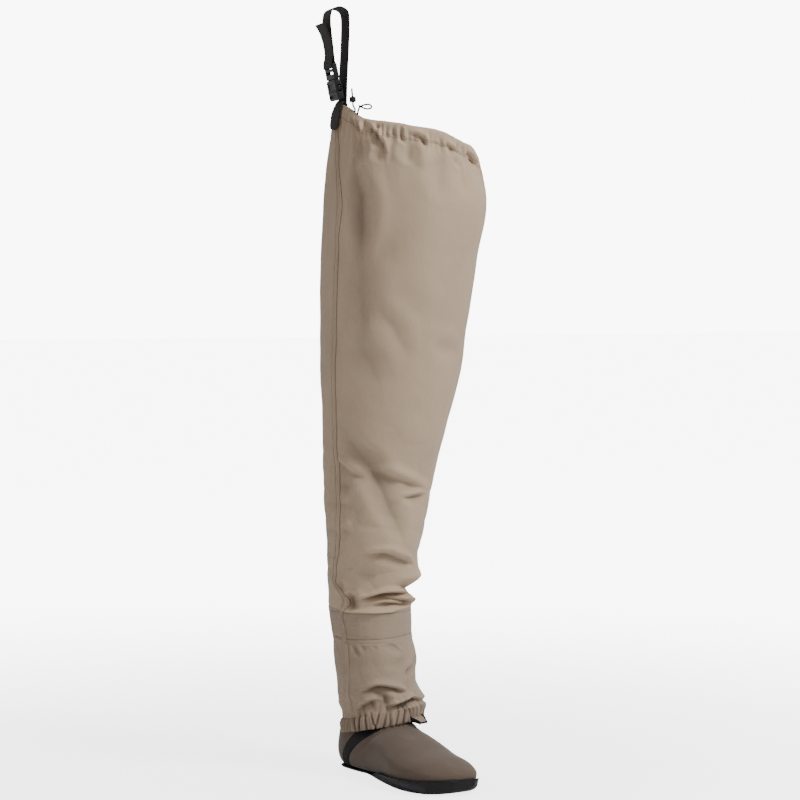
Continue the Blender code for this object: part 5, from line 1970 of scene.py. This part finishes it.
@dataclass
class BeltStrap:
    """Webbing loop over the collar, its anchor, its tail and the side-release buckle."""

    wardrobe: Wardrobe
    webbing_width: float = 0.038
    webbing_thickness: float = 0.0018
    strap_turn: float = 14.0
    anchor_turn: float = 103.0
    anchor_drop: float = 0.0335
    anchor_rise: float = 0.0040
    loop_rise: float = 0.1297
    loop_radius: float = 0.0132
    buckle_width: float = 0.043
    buckle_thickness: float = 0.009
    buckle_wall: float = 0.0019
    socket_height: float = 0.028
    plug_height: float = 0.022
    lean: float = 12.0
    buckle_out: float = 0.0030
    inner_strand: tuple[tuple[float, float], ...] = (
        (-0.034, 0.019), (-0.040, 0.252), (-0.057, 0.586), (-0.064, 0.830),
    )
    outer_strand: tuple[tuple[float, float], ...] = ((0.139, 0.830), (0.112, 0.589))
    tail: tuple[tuple[float, float], ...] = (
        (0.115, 0.50), (0.126, 0.60), (0.146, 0.68), (0.180, 0.765), (0.222, 0.826),
    )

    def base(self) -> np.ndarray:
        """Give the point of the rim that the strap stands on."""
        return LEG.point(np.array(self.anchor_turn), np.array(COLLAR_HEIGHT), 0.0)

    def away(self) -> np.ndarray:
        """Give the level direction out of the leg, square to the webbing."""
        return outward(self.strap_turn + 90.0)

    def side(self) -> np.ndarray:
        """Give the level direction across the webbing."""
        return outward(self.strap_turn)

    def plug_top(self) -> tuple[float, float]:
        """Give the out and up distances of the plug's upper end."""
        lean = math.radians(self.lean)
        tall = self.socket_height + GAP + self.plug_height
        rise = self.buckle_thickness / 2 * math.sin(lean)
        return (
            self.buckle_out + tall * math.sin(lean),
            self.anchor_rise + GAP + rise + tall * math.cos(lean),
        )

    def ribbon(self, name: str, line: np.ndarray, node: str) -> None:
        """Make webbing with rounded edges along a line.

        Args:
            name: Name of the piece.
            line: Out and up distances of its middle.
            node: Solid that it replaces.
        """
        line = resample(line, 0.0022)
        flat = [(across, 1.0) for across in (-0.46, -0.2, 0.0, 0.2, 0.46)]
        upper = [(-0.49, 0.7), *flat, (0.49, 0.7)]
        under = [(across, -over) for across, over in upper]
        section = np.array(under[1:] + [(0.5, 0.0)] + upper[::-1] + [(-0.5, 0.0)] + under[:2])
        size = np.ones(len(line))
        piece = sweep(
            name, line, section, self.base(), self.away(), self.side(), size * self.webbing_width,
            size * self.webbing_thickness / 2,
        )
        smooth(piece, 50.0)
        finish_piece(piece, self.wardrobe.webbing, [node])

    def build_webbing(self) -> None:
        """Make the loop and its tail."""
        top_out, top_up = self.plug_top()
        inner, outer, tail = (
            [(out * self.loop_rise, up * self.loop_rise) for out, up in strand]
            for strand in (self.inner_strand, self.outer_strand, self.tail)
        )
        middle = (outer[0][0] + inner[-1][0]) / 2
        arc = []
        for degrees in (155, 125, 90, 55, 25):
            angle = math.radians(degrees)
            arc.append((
                middle + self.loop_radius * math.cos(angle),
                self.loop_rise - self.loop_radius + self.loop_radius * math.sin(angle),
            ))
        inner = [(inner[0][0] + 0.0004, inner[0][1] - 0.0035)] + inner
        into_plug = [(top_out - 0.0012, top_up + 0.002), (top_out - 0.0030, top_up - 0.006)]
        self.ribbon("belt_loop", smooth_line(inner + arc + outer + into_plug, 6), "strap_loop")
        start = [(top_out + 0.0030, top_up - 0.007), (top_out + 0.0034, top_up + 0.001)]
        self.ribbon("belt_tail", smooth_line(start + tail, 6), "strap_tail")

    def build_anchor(self) -> None:
        """Fold the anchor webbing over the rim, with rounded lower corners."""
        span = math.degrees(self.webbing_width / 2 / (THIGH_WIDTH * 0.43))
        path = smooth_line([
            (0.0042, -1.0), (0.0046, -0.7), (0.0050, -0.4), (0.0046, -0.12), (0.0028, 0.10), (0.0, 0.13),
            (-0.0030, 0.09), (-0.0046, -0.06), (-0.0048, -0.35), (-0.0046, -0.7), (-0.0042, -1.0),
        ], 4)
        steps, rows = 24, len(path) - 1
        first, second = shares(steps, rows)
        across, row = 2.0 * first - 1.0, nearest(second, rows)
        turn = self.anchor_turn + across * span
        front = 0.5 * np.abs((across + 0.4) / 1.4) ** 2.4
        back = 0.35 * ((across + 0.4) / 0.6) ** 4
        drop = self.anchor_drop * (1.04 - np.where(across > -0.4, front, back))
        out, up = path[row].T
        up = up * np.where(up < 0, drop, self.anchor_drop)
        run = along_line(path * (1.0, self.anchor_drop))
        anchor = wrap_grid(
            "anchor_webbing", steps, rows, LEG.point(turn, rim_height(turn) + up, out),
            np.stack([across * self.webbing_width / 2, run[row]], axis=-1),
        )
        away = self.away()
        lower = [face for face in anchor.data.polygons if face.center.z < COLLAR_HEIGHT - 0.02]
        outer = [face for face in lower if (np.array(face.center) - self.base()) @ away > 0.002]
        if outer and np.mean([np.array(face.normal) @ away for face in outer]) < 0:
            edit_all(anchor)
            bpy.ops.mesh.flip_normals()
            bpy.ops.object.mode_set(mode="OBJECT")
        apply_modifier(anchor, "SOLIDIFY", thickness=0.0015, offset=0.0)
        apply_modifier(anchor, "BEVEL", width=0.0003, segments=2, limit_method="ANGLE")
        smooth(anchor, 50.0)
        finish_piece(anchor, self.wardrobe.webbing, ["strap_anchor"])

    def box(self, size: Sequence[float], centre: Sequence[float], bevel: float = 0.0) -> bpy.types.Object:
        """Add a block in the buckle's own frame, with rounded edges where asked.

        Args:
            size: Its three sizes.
            centre: Its middle.
            bevel: Radius of its edges.

        Returns:
            The block.
        """
        deselect_all()
        bpy.ops.mesh.primitive_cube_add(size=1.0, location=centre)
        block = added("block")
        block.scale = size
        bpy.ops.object.transform_apply(location=True, rotation=False, scale=True)
        if bevel:
            apply_modifier(block, "BEVEL", width=bevel, segments=4, limit_method="NONE")
        return block

    def finish_buckle(self, piece: bpy.types.Object, name: str, node: str) -> None:
        """Round a buckle piece's edges and stand it on the outer strand.

        Args:
            piece: The piece in the buckle's own frame.
            name: Name of the piece.
            node: Solid that it replaces.
        """
        apply_modifier(
            piece, "BEVEL", width=0.00035, segments=2, limit_method="ANGLE",
            angle_limit=math.radians(40),
        )
        lean = math.radians(self.lean)
        rise = self.anchor_rise + GAP + self.buckle_thickness / 2 * math.sin(lean)
        base = Vector(self.base() + self.away() * self.buckle_out) + Vector((0, 0, rise))
        turned = Matrix((self.side(), self.away(), UP)).transposed().to_4x4()
        piece.data.transform(Matrix.Translation(base) @ turned @ Matrix.Rotation(-lean, 4, "X"))
        piece.name = piece.data.name = name
        tidy_mesh(piece)
        smooth(piece, 40.0)
        finish_piece(piece, self.wardrobe.plastic, [node])

    def build_buckle(self) -> None:
        """Model the socket and the plug with its prongs and bars."""
        wide, thick, wall = self.buckle_width, self.buckle_thickness, self.buckle_wall
        tall, high = self.socket_height, self.plug_height
        socket = self.box((wide, thick, tall), (0, 0, tall / 2), 0.0026)
        window, hollow = (wide * 0.62, 0.0016, tall * 0.44), thick - 2 * wall
        cuts = (
            ((wide - 4 * wall, hollow, tall), (0, 0, tall * 0.5 + 0.009), 0.0008),
            ((wide * 1.3, hollow, tall * 0.36), (0, 0, tall * 0.56), 0.0016),
            ((wide - 5 * wall, thick * 0.5, 0.0042), (0, thick / 2, 0.0052), 0.0008),
            (window, (0, thick / 2, tall * 0.62), 0.0005),
            (window, (0, -thick / 2, tall * 0.62), 0.0005),
        )
        for size, centre, bevel in cuts:
            merge(socket, self.box(size, centre, bevel), "DIFFERENCE")
        for step in range(4):
            centre = (0, thick * 0.46, 0.0105 + step * 0.0012)
            merge(socket, self.box((wide * 0.9, thick * 0.2, 0.0008), centre, 0.0002), "UNION")
        self.finish_buckle(socket, "buckle_socket_shell", "buckle_socket")
        low, thin = tall + GAP, hollow - 2 * GAP
        plug = self.box((wide * 0.96, thick * 0.78, high), (0, 0, low + high / 2), 0.0022)
        for share in (0.40, 0.74):
            slot = self.box((wide - 5 * wall, thick * 1.5, 0.0036), (0, 0, low + high * share), 0.0006)
            merge(plug, slot, "DIFFERENCE")
        for side in (-1, 1):
            arm, head = side * (wide / 2 - 0.0062), side * (wide / 2 - 0.0034)
            blocks = (
                ((0.0030, thin, tall * 0.62), (arm, 0, low - tall * 0.28), 0.0008),
                ((0.0052, thin, tall * 0.26), (head, 0, tall * 0.57), 0.0016),
            )
            for size, centre, bevel in blocks:
                merge(plug, self.box(size, centre, bevel), "UNION")
        tongue = self.box((0.0060, thin * 0.8, tall * 0.55), (0, 0, low - tall * 0.25), 0.0008)
        merge(plug, tongue, "UNION")
        self.finish_buckle(plug, "buckle_plug_frame", "buckle_plug")

    def build(self) -> None:
        """Build the strap and its buckle."""
        self.build_webbing()
        self.build_anchor()
        self.build_buckle()


@dataclass
class Drawcord:
    """Elastic cord that leaves the casing, with its lock, its end and its small loop."""

    wardrobe: Wardrobe
    diameter: float = 0.0024
    lock_radius: float = 0.0044
    lock_height: float = 0.0070
    end_route: tuple[tuple[float, float, float], ...] = (
        (75.4, 0.0004, 0.0000), (75.8, 0.0035, 0.0004), (77.2, 0.0055, 0.0006), (78.6, 0.0070, 0.0006),
        (79.2, 0.0100, 0.0004), (79.6, 0.0140, 0.0003), (80.0, 0.0180, 0.0002), (80.3, 0.0215, 0.0002),
        (80.3, 0.0250, 0.0008), (80.1, 0.0285, 0.0012),
    )
    loop_route: tuple[tuple[float, float, float], ...] = (
        (71.8, 0.0004, 0.0008), (71.4, 0.0050, 0.0014), (70.2, 0.0100, 0.0020), (68.0, 0.0143, 0.0024),
        (65.0, 0.0176, 0.0022), (61.6, 0.0192, 0.0018), (59.2, 0.0180, 0.0008), (60.0, 0.0148, -0.0004),
        (63.0, 0.0130, -0.0012), (66.4, 0.0122, -0.0018), (69.6, 0.0116, -0.0022),
        (73.0, 0.0108, -0.0018),
    )

    def route(self, spots: Sequence[tuple[float, float, float]]) -> np.ndarray:
        """Turn a route's turns, heights over the rim and distances out into points."""
        table = np.array(spots)
        turn = table[:, 0]
        return LEG.point(turn, rim_height(turn) + table[:, 1], table[:, 2])

    def cord(self, name: str, line: np.ndarray, node: str) -> bpy.types.Object:
        """Make a round cord through points.

        Args:
            name: Name of the piece.
            line: Its centreline.
            node: Solid that it replaces.

        Returns:
            The cord, as a curve.
        """
        curve = bpy.data.curves.new(name, "CURVE")
        curve.dimensions = "3D"
        curve.bevel_depth = self.diameter / 2
        curve.bevel_resolution = 4
        curve.use_fill_caps = True
        spline = curve.splines.new("POLY")
        spline.points.add(len(line) - 1)
        for spot, point in zip(spline.points, line):
            spot.co = (*point, 1.0)
        spline.use_smooth = True
        piece = bpy.data.objects.new(name, curve)
        bpy.context.scene.collection.objects.link(piece)
        return finish_piece(piece, self.wardrobe.cord, [node])

    def build(self) -> None:
        """Build the cord's two visible lengths and the lock."""
        end_line = smooth_line(self.route(self.end_route), 3)
        loop_line = smooth_line(self.route(self.loop_route), 3)
        end = self.cord("drawcord_free_end", end_line, "drawcord_end")
        loop = self.cord("drawcord_pull_loop", loop_line, "drawcord_loop")
        spots = self.route(self.end_route)
        way = Vector(spots[6] - spots[4]).normalized()
        deselect_all()
        bpy.ops.mesh.primitive_cylinder_add(vertices=32, radius=self.lock_radius, depth=self.lock_height)
        lock = added("cord_lock_barrel")
        apply_modifier(lock, "BEVEL", width=0.0012, segments=4, limit_method="ANGLE")
        deselect_all()
        bpy.ops.mesh.primitive_cylinder_add(
            vertices=24, radius=self.diameter / 2 + GAP, depth=2 * self.lock_height
        )
        merge(lock, added("bore"), "DIFFERENCE")
        deselect_all()
        bpy.ops.mesh.primitive_torus_add(
            major_radius=self.lock_radius + 0.0001, minor_radius=0.0005, major_segments=32,
            minor_segments=8,
        )
        merge(lock, added("groove"), "DIFFERENCE")
        turned = way.to_track_quat("Z", "Y").to_matrix().to_4x4()
        lock.data.transform(Matrix.Translation(Vector(spots[5])) @ turned)
        smooth(lock, 40.0)
        finish_piece(lock, self.wardrobe.plastic, ["cord_lock"])


def main() -> None:
    """Build the wader's looks in order, from the collar's cord to the sole."""
    logging.basicConfig(level=logging.INFO, format="%(message)s")
    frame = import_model()
    Camera().build()
    wardrobe = Wardrobe()
    Drawcord(wardrobe).build()
    Leg(wardrobe).build()
    GravelGuard(wardrobe).build()
    Foot(wardrobe, frame).build()
    BeltStrap(wardrobe).build()
    Studio().build()


if __name__ == "__main__":
    main()
